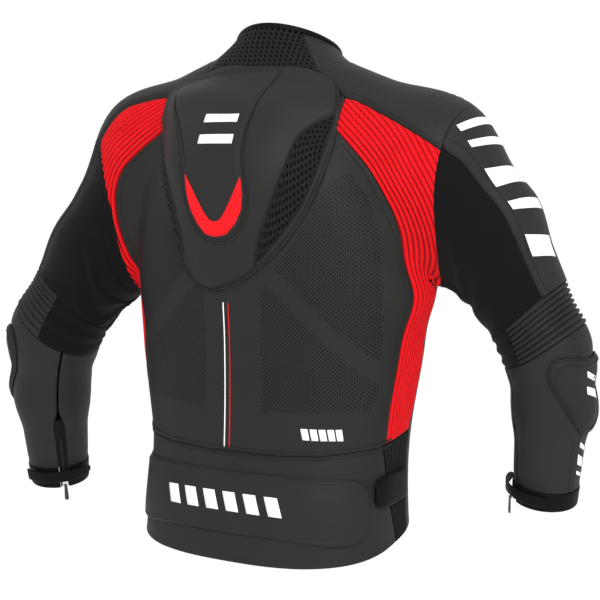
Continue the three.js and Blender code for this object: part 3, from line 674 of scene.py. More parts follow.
# ---------------------------------------------------------------- materials
class Nodes:
    """Builds one procedural material, node by node."""

    def __init__(self, name, color, roughness, metallic=0.0, specular=0.5, sheen=0.0):
        self.material = bpy.data.materials.new(name)
        self.material.use_nodes = True
        self.tree = self.material.node_tree
        self.shader = self.tree.nodes["Principled BSDF"]
        self.set("Base Color", (*color, 1))
        self.set("Roughness", roughness)
        self.set("Metallic", metallic)
        self.set("Specular IOR Level", specular)
        self.set("Sheen Weight", sheen)
        self.place = self.add("ShaderNodeTexCoord").outputs["Object"]

    def set(self, socket, value):
        self.shader.inputs[socket].default_value = value

    def add(self, kind, values=(), links=()):
        node = self.tree.nodes.new(kind)
        for socket, value in dict(values).items():
            node.inputs[socket].default_value = value
        for socket, source in dict(links).items():
            self.tree.links.new(source, node.inputs[socket])
        return node

    def link(self, source, socket):
        self.tree.links.new(source, self.shader.inputs[socket])

    def math(self, operation, a, b=None):
        node = self.add("ShaderNodeMath")
        node.operation = operation
        for socket, value in enumerate((a, b)):
            if value is None:
                continue
            if isinstance(value, (int, float)):
                node.inputs[socket].default_value = value
            else:
                self.tree.links.new(value, node.inputs[socket])
        return node.outputs[0]

    def mix(self, share, first, second):
        """A colour between two colours, by a share that may be a socket."""
        node = self.add("ShaderNodeMix")
        node.data_type = "RGBA"
        for socket, value in ((0, share), (6, first), (7, second)):
            if isinstance(value, bpy.types.NodeSocket):
                self.tree.links.new(value, node.inputs[socket])
            else:
                node.inputs[socket].default_value = value if socket == 0 else (*value, 1)
        return node.outputs[2]

    def grain(self, scale, detail=3.0):
        values = {"Scale": scale, "Detail": detail}
        return self.add("ShaderNodeTexNoise", values, {"Vector": self.place}).outputs[0]

    def cells(self, scale):
        return self.add("ShaderNodeTexVoronoi", {"Scale": scale}, {"Vector": self.place}).outputs["Distance"]

    def bump(self, height, strength, distance):
        node = self.add("ShaderNodeBump", {"Strength": strength, "Distance": distance}, {"Height": height})
        self.link(node.outputs[0], "Normal")

    def mark(self):
        node = self.tree.nodes.new("ShaderNodeAttribute")
        node.attribute_name = "mark"
        return node.outputs["Fac"]


LEATHER_ROUGHNESS = 0.58
LEATHER_SPECULAR = 0.13
CLOUD_SCALE = 14  # size of the leather's slow change of shade
PEBBLE_SCALES = (900, 350)


def leather(name, color, roughness=LEATHER_ROUGHNESS, specular=LEATHER_SPECULAR):
    look = Nodes(name, color, roughness, specular=specular)
    cloudy = look.grain(CLOUD_SCALE)
    darker = tuple(c * 0.82 for c in color)
    lighter = tuple(c * 1.15 for c in color)
    look.link(look.mix(cloudy, darker, lighter), "Base Color")
    pebbles = look.math("ADD", look.cells(PEBBLE_SCALES[0]), look.grain(PEBBLE_SCALES[1]))
    look.bump(pebbles, 0.22, 0.0004)
    return look.material


PERFORATION = 0.0052  # spacing of the punched holes, in rows that run aslant
HOLE_SIZE = 0.075  # a hole's radius squared, as a share of the spacing squared


def perforated(name, color):
    """Leather with staggered rows of holes where the point values are above a half; each hole is painted
    near black as painted shade inside it.
    """
    look = Nodes(name, color, LEATHER_ROUGHNESS, specular=LEATHER_SPECULAR)
    split = look.add("ShaderNodeSeparateXYZ", links={"Vector": look.place})
    x, z = split.outputs["X"], split.outputs["Z"]
    across = look.math("DIVIDE", look.math("ADD", x, z), PERFORATION)
    down = look.math("DIVIDE", look.math("SUBTRACT", x, z), PERFORATION)
    u = look.math("SUBTRACT", look.math("FRACT", across), 0.5)
    v = look.math("SUBTRACT", look.math("FRACT", down), 0.5)
    squared = look.math("ADD", look.math("MULTIPLY", u, u), look.math("MULTIPLY", v, v))
    hole = look.math("LESS_THAN", squared, HOLE_SIZE)
    holes_and_shade = look.math("MULTIPLY", hole, look.math("GREATER_THAN", look.mark(), 0.5))
    darker = tuple(c * 0.82 for c in color)
    lighter = tuple(c * 1.15 for c in color)
    cloudy = look.mix(look.grain(CLOUD_SCALE), darker, lighter)
    # Painted shade: the holes are not cut, so their near-black colour stands in for the shade inside them.
    look.link(look.mix(holes_and_shade, cloudy, (0.0010, 0.0010, 0.0010)), "Base Color")
    pebbles = look.math("ADD", look.cells(PEBBLE_SCALES[0]), look.grain(PEBBLE_SCALES[1]))
    look.bump(look.math("SUBTRACT", pebbles, look.math("MULTIPLY", holes_and_shade, 3.0)), 0.22, 0.0004)
    return look.material


def cloth_look(name, color, valley_shade=None, roughness=0.85, scale=1400, specular=0.2):
    """Knitted or woven fabric, with painted shade in its valleys and open cells when a dark colour for them
    is given.
    """
    look = Nodes(name, color, roughness, specular=specular, sheen=0.05)
    shade = look.mix(look.grain(40), tuple(c * 0.85 for c in color), tuple(c * 1.12 for c in color))
    if valley_shade:
        # Painted shade: where the point values are low, in rib valleys and mesh cells, the colour goes to
        # the dark valley colour.
        shade = look.mix(look.mark(), valley_shade, shade)
    look.link(shade, "Base Color")
    look.bump(look.cells(scale), 0.3, 0.0003)
    return look.material


def metal_look(name, color, roughness):
    look = Nodes(name, color, roughness, metallic=1.0)
    look.link(look.math("ADD", look.math("MULTIPLY", look.grain(300), 0.15), roughness - 0.07), "Roughness")
    return look.material


LOOKS = {
    "leather": leather("leather", (0.0165, 0.0160, 0.0155)),
    "perforated": perforated("perforated_leather", (0.0155, 0.0151, 0.0147)),
    "red_leather": leather("red_leather", (0.62, 0.006, 0.010), 0.6, 0.12),
    # The red stretch's second, dark red is painted shade for its rib valleys.
    "red": cloth_look("red_stretch", (0.66, 0.006, 0.010), (0.12, 0.001, 0.002), 0.8, specular=0.05),
    "stretch": cloth_look("stretch_fabric", (0.0050, 0.0050, 0.0052), specular=0.05),
    # The spacer mesh's near black is painted shade for its open cells.
    "mesh": cloth_look("spacer_mesh", (0.01, 0.01, 0.01), (0.0008, 0.0008, 0.0008), 0.8, specular=0.08),
    "binding": leather("binding", (0.0038, 0.0038, 0.0038), 0.5, 0.06),
    "thread": cloth_look("thread", (0.010, 0.010, 0.010), scale=4000, specular=0.05),
    "print": leather("white_print", (0.88, 0.88, 0.88), 0.55, 0.2),
    "red_print": leather("red_print", (0.62, 0.006, 0.010), 0.55, 0.12),
    "lining": cloth_look("lining", (0.009, 0.009, 0.0095), scale=900, specular=0.1),
    "foam": leather("armour_foam", (0.15, 0.16, 0.18), 0.8, 0.2),
    "tape": cloth_look("zip_tape", (0.006, 0.006, 0.006), scale=2500, specular=0.05),
    "metal": metal_look("zip_metal", (0.55, 0.55, 0.56), 0.33),
    "dark_metal": metal_look("zip_teeth", (0.05, 0.05, 0.052), 0.4),
}


# ---------------------------------------------------------------- seams of the body
def mirror(points, side):
    return np.array(points, float) * MM * [SIGN[side], 1, 1]


# The red panels' seams. The two sides are worn in a little differently.
RED_TOP = {
    "left": [[152, -18, -42], [182, -17, -46], [210, -15, -54], [232, -10, -76]],
    "right": [[145, -15, -52], [184, -7, -69], [221, 0, -87]],
}
RED_INNER = {
    "left": [[138, 8, -86], [173, 8, -111], [205, 7, -139], [218, 5, -168], [219, 1, -195], [214, -4, -228],
             [205, -12, -262], [187, -3, -292], [171, 5, -325], [169, 4, -361], [171, -4, -396],
             [175, -18, -440]],
    "right": [[125, 9, -85], [145, 10, -105], [173, 10, -137], [194, -1, -180], [201, -20, -219],
              [202, -35, -263], [201, -38, -302], [195, -34, -356], [186, -31, -412]],
}
RED_WAIST = [178, -32, -475]


def body_seams(side):
    """The seam lines of one half of the body, at the places the CAD gives them."""
    hole = ARMHOLE[side]

    def corner(point, seam_plane=None):
        return settle(mirror(point, side), seam_plane, 12)

    def run(points, seam_plane=None):
        fixed = [p if isinstance(p, np.ndarray) else mirror(p, side) for p in points]
        return seam(fixed, seam_plane)

    neck_rear = corner([80, -24, -14])
    yoke_corner = corner([125, -14, -46])
    arm_rear_top = corner([258, -13, -113], hole)
    arm_front_top = corner([258, -135, -118], hole)
    armpit = corner([234, -75, -262], hole)
    neck_front = corner([76, -136, -42])
    centre_neck = corner([12, -166, -67])
    red_waist = corner(RED_WAIST, WAIST_PLANE)
    flank_waist = corner([180, -92, -468], WAIST_PLANE)
    flank_hem = corner([180, -92, -600], HEM_PLANE)
    return {
        "neck_back": run([[0, -2, -4], [45, -9, -8], neck_rear]),
        "neck_side": run([neck_rear, [94, -80, -8], neck_front]),
        "neck_front": run([centre_neck, [45, -158, -60], neck_front]),
        "yoke_rear": run([neck_rear, yoke_corner]),
        "red_side": run([yoke_corner, RED_INNER[side][0]]),
        "red_top": run([yoke_corner, *RED_TOP[side], arm_rear_top]),
        "red_inner": run([*RED_INNER[side], red_waist]),
        "arm_rear": run([arm_rear_top, [249, -14, -169], [241, -40, -237], armpit], hole),
        "arm_front": run([arm_front_top, [250, -140, -170], [240, -115, -237], armpit], hole),
        "arm_top": run([arm_rear_top, [267, -40, -60], [268, -78, -48],
                        [267, -110, -62], arm_front_top], hole),
        "yoke_front": run([neck_front, [130, -150, -78], [200, -150, -98], arm_front_top]),
        "flank": run([armpit, [206, -92, -330], [190, -96, -400], flank_waist]),
        "flank_low": run([flank_waist, [178, -92, -535], flank_hem]),
    }


SIDES = ("left", "right")
SEAMS = {side: body_seams(side) for side in SIDES}
THREADS = {group: Merge() for group in ("torso", "arm_left", "arm_right", "forearm_left", "forearm_right")}
PIPING = {group: Merge() for group in THREADS}
PRINTS = {group: Merge() for group in THREADS}
RED_PRINTS = Merge()


def back_line(points):
    return np.array(points, float) * MM


# ---------------------------------------------------------------- back of the body
WAIST_LINE = back_line([[-100, 40, -487], [0, 51, -488], [100, 40, -487]])


def perforation_zones(grid):
    """One where the back is punched with holes: two fields each side, with a plain band between."""
    x = np.abs(grid[..., 0])
    z = grid[..., 2]
    field = back_line([[38, 0, -285], [98, 0, -200], [122, 0, -148], [148, 0, -132], [174, 0, -165],
                       [184, 0, -215],
                       [187, 0, -300], [182, 0, -400], [172, 0, -432], [38, 0, -440]])[:, [0, 2]]
    inside = signed_distance(np.stack([x, z], -1), field) < -0.004
    band = np.abs((x - 0.055) * 0.70 + (z + 0.262) * 0.71) < 0.011
    return (inside & ~band).astype(float)


def back_panel():
    left, right = SEAMS["left"], SEAMS["right"]
    top = joined(right["neck_back"][::-1], left["neck_back"])
    sides = [joined(s["yoke_rear"], s["red_side"], s["red_inner"]) for s in (right, left)]
    bottom = seam([sides[0][-1], *WAIST_LINE, sides[1][-1]], WAIST_PLANE)
    grid = patch(top, bottom, sides[0], sides[1], 0.0032)
    far = edge_distances(grid)
    side = np.minimum(far["left"], far["right"])
    folds = 0.0009 * np.exp(-far["bottom"] / 0.03) * np.sin(grid[..., 0] / 0.011 + 3 * noise(grid, 0.05, 5))
    lift = 0.0012 * smoothstep(side, 0, 0.008) - groove(side, 0.0085) - groove(far["bottom"], 0.006) + folds
    hump_edge = flat_xz(closed_curve(HUMP_OUTLINE, 160))
    under = smoothstep(-signed_distance(flat_xz(grid), hump_edge), -0.001, 0.002)
    lift = lift * (1 - under) - 0.0040 * under
    skin("back_shell", grid, "perforated",
         lift=lift, values=perforation_zones(grid), replaces=["back_panel"])


RIB = 0.0064  # spacing of the ribs of a red panel


def distance_to(grid, line):
    """Distance of each point of a grid from a line of points."""
    best = np.full(grid.shape[:2], 1.0)
    for a, b in zip(line[:-1], line[1:]):
        ab = b - a
        t = np.clip(((grid - a) @ ab) / (ab @ ab), 0, 1)
        best = np.minimum(best, np.linalg.norm(grid - a - t[..., None] * ab, axis=-1))
    return best


# On the left the red stops short of the armhole, and stretch fabric fills the rest.
LEFT_RED_EDGE = back_line([[248, -8, -98], [240, 4, -131], [231, 5, -171], [221, -1, -218], [213, -24, -285],
                           [206, -92, -335]])


def nearest(line, point):
    return int(np.argmin(np.linalg.norm(line - point, axis=1)))


def underarm(side):
    """Stretch fabric beside the left red panel. Returns the red panel's top and outer edges."""
    s = SEAMS[side]
    top, flank = s["red_top"], s["flank"]
    if side == "right":
        return top, joined(s["arm_rear"], flank)
    cut = nearest(top, LEFT_RED_EDGE[0])
    low = nearest(flank, LEFT_RED_EDGE[-1])
    edge = seam([top[cut], *LEFT_RED_EDGE[1:-1], flank[low]])
    grid = patch(top[cut:], flank[: low + 1][::-1], edge, s["arm_rear"], 0.0035)
    skin("underarm_stretch_left", grid, "stretch",
         lift=0.0006 * noise(grid, 0.02, 21), replaces=["stretch_panel_left"])
    return top[: cut + 1], joined(edge, flank[low:])


def red_panel(side):
    s = SEAMS[side]
    bottom = seam([s["red_inner"][-1], s["flank"][-1]], WAIST_PLANE)
    inner = s["red_inner"]
    top, outer = underarm(side)
    grid = patch(top, bottom, joined(s["red_side"], inner), outer, 0.0022, across=0.0009)
    far = edge_distances(grid)
    start = inner[0] + unit(inner[0] - inner[3]) * 0.09
    phase = distance_to(grid, np.concatenate([start[None], inner])) / RIB + 0.2 * noise(grid, 0.07, 7)
    crest = np.abs(np.sin(np.pi * phase)) ** 0.6
    fade = smoothstep(np.minimum(far["top"], far["bottom"]), 0.001, 0.006)
    lift = (-0.0022 + 0.0034 * crest) * fade - 0.0012 * (1 - smoothstep(far["left"], 0.001, 0.006))
    # crest also sets the painted shade: the valleys between the ribs get the dark red.
    skin(f"red_stretch_{side}", grid, "red", lift=lift,
         values=crest, replaces=[f"stretch_panel_{side}"])


def yoke(side):
    s = SEAMS[side]
    rear = joined(s["yoke_rear"], s["red_top"])
    grid = patch(s["neck_side"], s["arm_top"], rear, s["yoke_front"], 0.0035)
    far = edge_distances(grid)
    ridges = sum(groove(far["bottom"], d, 0.0022, 0.0016) for d in (0.020, 0.030, 0.040))
    middle = smoothstep(np.minimum(far["left"], far["right"]), 0.012, 0.035)
    lift = 0.0022 * smoothstep(far["left"], 0, 0.006) - groove(far["left"], 0.0075) - ridges * middle
    skin(f"yoke_{side}", grid, "leather", lift=lift, replaces=[f"shoulder_yoke_{side}"])


FRONT_HALF = 0.012  # from the centre front to the edge of a front panel


def front_panel(side):
    s = SEAMS[side]
    sign = SIGN[side]
    top = joined(s["neck_front"], s["yoke_front"])
    heights = np.linspace(-0.067, -0.583, 60)
    centre = settle(np.stack([0 * heights + sign * FRONT_HALF, 0 * heights - 0.175, heights], -1))
    centre[:, 0] = sign * FRONT_HALF
    centre[0] = top[0]
    low = np.array([[sign * 0.090, -0.168, -0.586], [sign * 0.160, -0.130, -0.592]])
    bottom = seam([centre[-1], *low, s["flank_low"][-1]], HEM_PLANE)
    grid = patch(top, bottom, centre, joined(s["arm_front"], s["flank"], s["flank_low"]), 0.0048)
    grid[:, 0, 0] = sign * FRONT_HALF
    far = edge_distances(grid)
    lift = -groove(far["left"], 0.008) - groove(far["top"], 0.007) - groove(far["bottom"], 0.012)
    skin(f"front_{side}", grid, "leather", lift=lift, replaces=[f"front_panel_{side}"])


def band_edge(sign):
    low = [(-0.176, -0.026, -0.484, WAIST_PLANE),
           (-0.177, -0.041, -0.545, None),
           (-0.180, -0.056, -0.606, HEM_PLANE)]
    return spline([settle(np.array([-sign * x, y, z]), p, 12) for x, y, z, p in low], 30)


def waist():
    left, right = band_edge(-1), band_edge(1)
    top = seam([left[0], *WAIST_LINE, right[0]], WAIST_PLANE)
    hem = back_line([[-110, 52, -624], [0, 66, -627], [110, 52, -624]])
    bottom = seam([left[-1], *hem, right[-1]], HEM_PLANE)
    grid = patch(top, bottom, settle(left), settle(right), 0.0035)
    far = edge_distances(grid)
    lift = -groove(far["bottom"], 0.008) - groove(far["top"], 0.006)
    skin("waist_leather", grid, "leather", lift=lift, replaces=["waist_band"])
    for side in SIDES:
        s = SEAMS[side]
        inner = settle(band_edge(SIGN[side]))
        top = seam([inner[0], mirror([180, -60, -473], side), s["flank_low"][0]], WAIST_PLANE)
        bottom = seam([inner[-1], mirror([181, -74, -603], side), s["flank_low"][-1]], HEM_PLANE)
        grid = patch(top, bottom, inner, s["flank_low"], 0.003, across=0.0011)
        far = edge_distances(grid)
        crest = np.abs(np.sin(np.pi * far["left"] / 0.0066))
        skin(f"elastic_{side}", grid, "stretch",
             lift=-0.001 + 0.0016 * crest, replaces=[f"side_elastic_{side}"])


# ---------------------------------------------------------------- the hump and the pads
HUMP_MIDDLE = (0.0, 0.055, -0.120)
HUMP_OUTLINE = back_line([
    [40, -9, -3], [0, -3, -4], [-40, -10, -5], [-75, -20, -10], [-103, -20, -20], [-116, -12, -40],
    [-124, 3, -66],
    [-125, 16, -97], [-121, 27, -126], [-114, 40, -160], [-98, 49, -194], [-73, 53, -228], [-41, 56, -256],
    [-6, 56, -276], [25, 55, -285], [48, 54, -279], [66, 53, -259], [77, 53, -233], [89, 51, -199],
    [102, 46, -165],
    [121, 28, -127], [133, 12, -94], [140, -3, -58], [138, -20, -34], [108, -24, -18], [74, -18, -10]])
INLAY = back_line([
    [-40, 0, -7], [-34, 33, -37], [-29, 53, -76], [-29, 69, -112], [-36, 79, -145], [-41, 80, -168],
    [-38, 80, -186],
    [-30, 80, -203], [-16, 80, -216], [0, 80, -221], [18, 80, -215], [31, 80, -199], [41, 80, -177],
    [46, 78, -154],
    [50, 73, -129], [64, 58, -99], [88, 38, -67], [108, 18, -42], [124, 2, -26]])
INSERT_OUTER = {
    "right": back_line([[-122, 12, -78], [-119, 25, -108], [-112, 39, -144], [-97, 49, -182],
                        [-72, 55, -217], [-42, 58, -248]]),
    "left": back_line([[122, 24, -108], [115, 34, -132], [98, 46, -168], [85, 51, -203], [72, 54, -240]]),
}
INSERT_INNER = {
    "right": back_line([[-123, 10, -66], [-106, 34, -76], [-93, 46, -93], [-86, 60, -122], [-78, 70, -152],
                        [-66, 74, -186], [-51, 74, -220], [-41, 72, -252]]),
    "left": back_line([[121, 26, -104], [101, 47, -130], [82, 59, -163], [71, 62, -198], [67, 58, -240]]),
}


def flat_xz(points):
    return points[..., [0, 2]]


def insert_outline(side):
    return flat_xz(np.concatenate([spline(INSERT_OUTER[side], 40), spline(INSERT_INNER[side], 40)[::-1]]))


def hump():
    """The padded hump: a firm raised edge, a crown, and hollows where the mesh inserts lie."""
    outline = settle(closed_curve(HUMP_OUTLINE, 220))
    seat = 1 - shares(0.13, 0.0035)[:-6]
    grid = disc(HUMP_MIDDLE, outline, seat)
    xz = flat_xz(grid)
    depth = distance_to(grid, np.concatenate([outline, outline[:1]]))
    left_half = smoothstep(xz[..., 0], -0.010, 0.060)
    crown = smoothstep(depth / (0.075 - 0.022 * left_half), 0, 1)
    low = smoothstep(-xz[..., 1], 0.0, 0.10)
    firm = smoothstep(-xz[..., 1], 0.012, 0.060)
    lift = (0.0020 + 0.0050 * firm) * smoothstep(depth / (0.0025 + 0.004 * firm), -0.1, 1)
    lift = lift + (0.010 + 0.010 * low) * crown
    held = depth < 0.009
    for side in SIDES:
        away = signed_distance(xz, insert_outline(side))
        let_in = smoothstep(-away, -0.002, 0.002)
        sunk = {"left": 0.0012, "right": 0.0030 + 0.0025 * smoothstep(-depth, -0.020, -0.004)}[side]
        lift = lift - sunk * let_in
        held |= np.abs(away) < 0.006
    inlay = signed_distance(xz, flat_xz(spline(INLAY, 120)))
    lift = lift - 0.0014 * np.exp(-((inlay / 0.0024) ** 2))
    held |= np.abs(inlay) < 0.0035
    normal = unit(slope(grid))
    top = grid + normal * (0.0012 + np.maximum(lift - rounding(depth, 0.0022, 0.0016), -0.0004))[..., None]
    bottom = grid + normal * 0.0002
    points, faces = pad_mesh(top, bottom)
    obj = piece("hump", points, FaceList(faces), "leather", replaces=["back_hump"])
    swell(obj, points, held, 3.0, 0.004, "torso")


LUMBAR_RIGHT = back_line([
    [-66, 55, -512], [-132, 38, -513], [-163, 14, -515], [-171, 4, -520], [-176, -2, -532], [-177, -3, -556],
    [-177, 1, -579], [-172, 12, -590], [-162, 25, -596], [-139, 45, -596], [-70, 62, -590]])
LUMBAR_OUTLINE = np.concatenate([back_line([[0, 60, -512]]), LUMBAR_RIGHT, back_line([[0, 70, -590]]),
                                 LUMBAR_RIGHT[::-1] * [-1, 1, 1]])


LUMBAR_MIDDLE = (0, 0.06, -0.553)


def lumbar_pad():
    edge = np.concatenate([LUMBAR_OUTLINE, LUMBAR_OUTLINE[:1]])
    outline = settle(along(edge, np.linspace(0, 1, 200, endpoint=False)))
    seat = 1 - shares(0.16, 0.0045)[:-6]
    grid = disc(LUMBAR_MIDDLE, outline, seat)
    xz = flat_xz(grid)
    depth = -signed_distance(xz, flat_xz(outline))
    lift = 0.0030 * smoothstep(depth, -0.0005, 0.0045) + 0.0025 * smoothstep(depth, 0.008, 0.03)
    lift = lift - groove(depth, 0.0065)
    normal = unit(slope(grid))
    top = grid + normal * (0.0014 + lift)[..., None]
    bottom = grid + normal * 0.0006
    points, faces = pad_mesh(top, bottom)
    obj = piece("lumbar", points, FaceList(faces), "leather", replaces=["lumbar_pad"])
    swell(obj, points, depth < 0.0085, 2.0, 0.003, "torso")


def honeycomb(grid, pitch=0.0074):
    """Open cells of a spacer mesh on a grid: how far each point stands off, and a share that is low in the
    cells, for their painted shade.
    """
    far = edge_distances(grid)
    row = far["top"] / (pitch * 0.86)
    shift = np.mod(np.floor(row), 2) * 0.5
    u = np.mod(row, 1) - 0.5
    v = np.mod(far["left"] / pitch + shift, 1) - 0.5
    radius = np.sqrt((u / 0.95) ** 2 + (v / 0.72) ** 2)
    hole = 1 - smoothstep(radius, 0.20, 0.48)
    edge = smoothstep(np.minimum.reduce([far[k] for k in ("top", "bottom", "left", "right")]), 0, 0.003)
    # The second value is painted shade: low in the open cells and 1 on the mesh between them.
    return (1 - 2.6 * hole * edge) * 0.0011, 1 - hole * edge


def mesh_insert(side):
    """The honeycomb mesh let into the hump between two seams."""
    rows = shares(0.20, 0.0012, rim=False)
    outer = along(spline(INSERT_OUTER[side], 60), rows)
    inner = along(spline(INSERT_INNER[side], 60), rows)
    columns = np.linspace(0, 1, 44)[None, :, None]
    hints = inner[:, None] * (1 - columns) + outer[:, None] * columns
    base, normal = drape(hints, "torso")
    lift, unshaded = honeycomb(hints)
    top = base + normal * (lift + 0.0018)[..., None]
    # The cells' painted shade goes to the material through the point values.
    slab(f"mesh_insert_cells_{side}", top, base - normal * 0.0008, "mesh",
         replaces=[f"mesh_insert_{side}"], values=np.concatenate([unshaded.ravel()] * 2))


def inlay_panel():
    """The inlay of the hump, with the red strip let in round its lower end."""
    outline = spline(INLAY, 160)
    half = len(outline) // 2
    rows = shares(0.2, 0.004, rim=False)
    right = along(outline[: half + 1], rows * 0.999)
    left = along(outline[half:][::-1], rows * 0.999)
    columns = np.linspace(0, 1, 40)[None, :, None]
    hints = right[:, None] * (1 - columns) + left[:, None] * columns
    base, normal = drape(hints, "torso")
    depth = -signed_distance(flat_xz(hints), flat_xz(outline))
    lift = 0.0004 + 0.0012 * smoothstep(depth, 0, 0.005)
    top = base + normal * lift[..., None]
    slab("hump_inlay_panel", top, base - normal * 0.0006, "leather", replaces=["hump_inlay"])
    index = np.arange(lift.size).reshape(lift.shape)
    SURFACES["torso"].append((top.reshape(-1, 3), quads_of(index)))
    TREES.clear()


CHEVRON_OUTER = back_line([[-35, 78, -143], [-38, 80, -164], [-36, 81, -182], [-27, 81, -199],
                           [-13, 80, -213],
                       [1, 80, -216], [14, 80, -213], [27, 81, -199], [37, 81, -182], [43, 79, -162],
                       [47, 76, -140]])
CHEVRON_INNER = back_line([[-34, 78, -143], [-28, 81, -158], [-21, 81, -173], [-13, 81, -187],
                           [-6, 81, -195],
                       [1, 81, -197], [8, 81, -195], [15, 81, -187], [24, 81, -173], [34, 80, -157],
                       [46, 76, -140]])


def red_chevron():
    rows = np.linspace(0, 1, 60)
    columns = np.linspace(0, 1, 10)[None, :, None]
    outer, inner = along(CHEVRON_OUTER, rows), along(CHEVRON_INNER, rows)
    hints = outer[:, None] * (1 - columns) + inner[:, None] * columns
    base, normal = drape(hints, "torso")
    width = np.linalg.norm(hints - hints[:, :1], axis=-1)
    edge = np.minimum(width, width[:, -1:] - width)
    lift = 0.0007 + 0.0007 * smoothstep(edge, 0, 0.002)
    top = base + normal * lift[..., None]
    slab("hump_red_strip", top, base - normal * 0.0005, "red_leather", replaces=["hump_chevron"])


# ---------------------------------------------------------------- collar
RIM_SIDE = 0.058
RIM_BACK = 0.064
RIM_MIDDLE = -0.088


def rim_above(p):
    """The points of the collar's rim above points of the neck seam."""
    angle = np.arctan2(p[:, 0], p[:, 1] - RIM_MIDDLE)
    x = RIM_SIDE * np.sin(angle)
    y = RIM_MIDDLE + RIM_BACK * np.cos(angle)
    z = RIM_PLANE[0][2] - ((y - RIM_PLANE[0][1]) * RIM_PLANE[1][1]) / RIM_PLANE[1][2]
    return settle(np.stack([x, y, z], -1), RIM_PLANE, 12)


def collar_grid(neck, step):
    """A band of the collar between the neck seam and the rim."""
    rim = rim_above(neck)
    ends = [settle(np.linspace(rim[k], neck[k], 20)) for k in (0, -1)]
    return patch(rim, neck, ends[0], ends[1], step, across=step)


def collar():
    left, right = SEAMS["left"], SEAMS["right"]
    back = joined(right["neck_back"][::-1], left["neck_back"])
    grid = collar_grid(back, 0.0012)
    lift, unshaded = honeycomb(grid)
    # The cells' painted shade goes to the material through the point values.
    skin("collar_mesh", grid, "mesh", lift=lift + 0.001, values=unshaded, replaces=["collar_back_mesh"])
    rims = [rim_above(back)]
    for side in SIDES:
        s = SEAMS[side]
        neck = joined(s["neck_side"], s["neck_front"][::-1])
        grid = collar_grid(neck, 0.0035)
        far = edge_distances(grid)
        lift = 0.0014 - groove(far["bottom"], 0.007) - groove(far["left"], 0.006)
        skin(f"collar_{side}", grid, "leather", lift=lift, replaces=[f"collar_front_{side}"])
        rims.append(rim_above(neck))
    whole = np.concatenate([rims[2][::-1][:-1], rims[0][:-1], rims[1]])
    line = along(whole, np.linspace(0, 1, 150))
    normal = np.broadcast_to(RIM_PLANE[1], line.shape)
    side_way = unit(slope(line))
    points = line + normal * 0.0012 - side_way * 0.0002
    binding, faces = sweep(points, side_way, 0.0042, 0.66, sides=12)
    piece("collar_rim_binding", binding, FaceList(faces), "binding", replaces=["collar_binding"])


# ---------------------------------------------------------------- sleeves
BAND_REAR = np.array([[0, 51], [0.25, 48], [0.5, 40], [0.7, 42], [0.95, 38], [1.35, 41], [1.95, 40],
                      [2.4, 35]])
BAND_FRONT = np.array([[0, -50], [0.6, -46], [1.3, -52], [1.95, -44], [2.4, -36]])
CUFF_START = 5.5
CUFF_END = 6.0
ZIP_ANGLE = 140
ZIP_START = 4.2


def cosd(degrees):
    return np.cos(np.radians(degrees))


def gusset_top(phi):
    return 2.3 - 0.18 * cosd(phi)


def gusset_end(phi):
    return 2.96 - 0.18 * cosd(phi)


def zip_half_angle(s):
    return 1.2 + 8 * smoothstep(s, ZIP_START - 0.2, ZIP_START + 0.3)


def shoulder_bend(side):
    """The upper arm's name, the sleeve's middle at the armhole, and a point 70 mm out along the armhole's
    normal.
    """
    start = SLEEVE_STATIONS[side][0]
    return f"upper_arm_{side}", tuple(start), tuple(start + ARMHOLE[side][1] * 0.070)


def elbow_bend(side):
    """The forearm's name and two points on the elbow ring's axis, from the pleats' top to just short of
    their end.
    """
    phi = np.array([0, 90, 180, 270])
    ring = sleeve_point(side, gusset_top(phi), phi)
    end = sleeve_point(side, gusset_end(phi), phi)
    way = unit(np.cross(ring[0] - ring[2], ring[1] - ring[3]))
    if way @ (end.mean(0) - ring.mean(0)) < 0:
        way = -way
    start = ring.mean(0) + way * 0.001
    reach = ((end - ring.mean(0)) @ way).min() - 0.003
    return f"forearm_{side}", tuple(start), tuple(start + way * reach)


def soft_edge(table, s):
    """The edge's angle at stations s, on a curve without corners."""
    nearby = (-0.16, -0.08, 0, 0.08, 0.16)
    return sum(np.interp(s + d, table[:, 0], table[:, 1]) for d in nearby) / len(nearby)


def upper_sleeve(side):
    rows = shares(0.19, 0.0035)[:, None]
    bend = shoulder_bend(side)
    for name, columns, rear, nodes in (
        ("leather", shares(0.12, 0.0035), False, [f"upper_sleeve_leather_{side}"]),
        ("stretch", shares(0.27, 0.0035), True, [f"upper_sleeve_stretch_{side}", f"sleeve_cap_{side}"]),
    ):
        columns = columns[None, :]
        phi = np.zeros((rows.size, columns.size)) + (180.0 if rear else 0.0)
        s = phi
        for _ in range(4):
            s = rows * gusset_top(phi)
            low = soft_edge(BAND_REAR, s) if rear else soft_edge(BAND_FRONT, s)
            high = soft_edge(BAND_FRONT, s) + 360 if rear else soft_edge(BAND_REAR, s)
            phi = low + (high - low) * columns
        grid = sleeve_point(side, s, phi)
        far = edge_distances(grid)
        edge = np.minimum(far["left"], far["right"])
        slack = smoothstep(phi, 95, 150) * smoothstep(-phi, -330, -250) * smoothstep(s, 0.15, 0.8)
        wave = far["top"] / 0.0085 + 2.5 * noise(grid, 0.05, 9) + np.radians(phi) * 1.5
        folds = 0.0022 * slack * np.sin(wave)
        if rear:
            lift = folds - 0.0008
        else:
            lift = 0.0026 * smoothstep(edge, 0, 0.006) - groove(edge, 0.0085)
        skin(f"upper_sleeve_{name}_{side}_panel", grid, name, f"arm_{side}", lift=lift,
             replaces=nodes, bend=bend)


PLEATS = 8
PLEATS_START = -75  # the pleated leather's edges; stretch fabric fills the inside of the elbow
PLEATS_END = 104


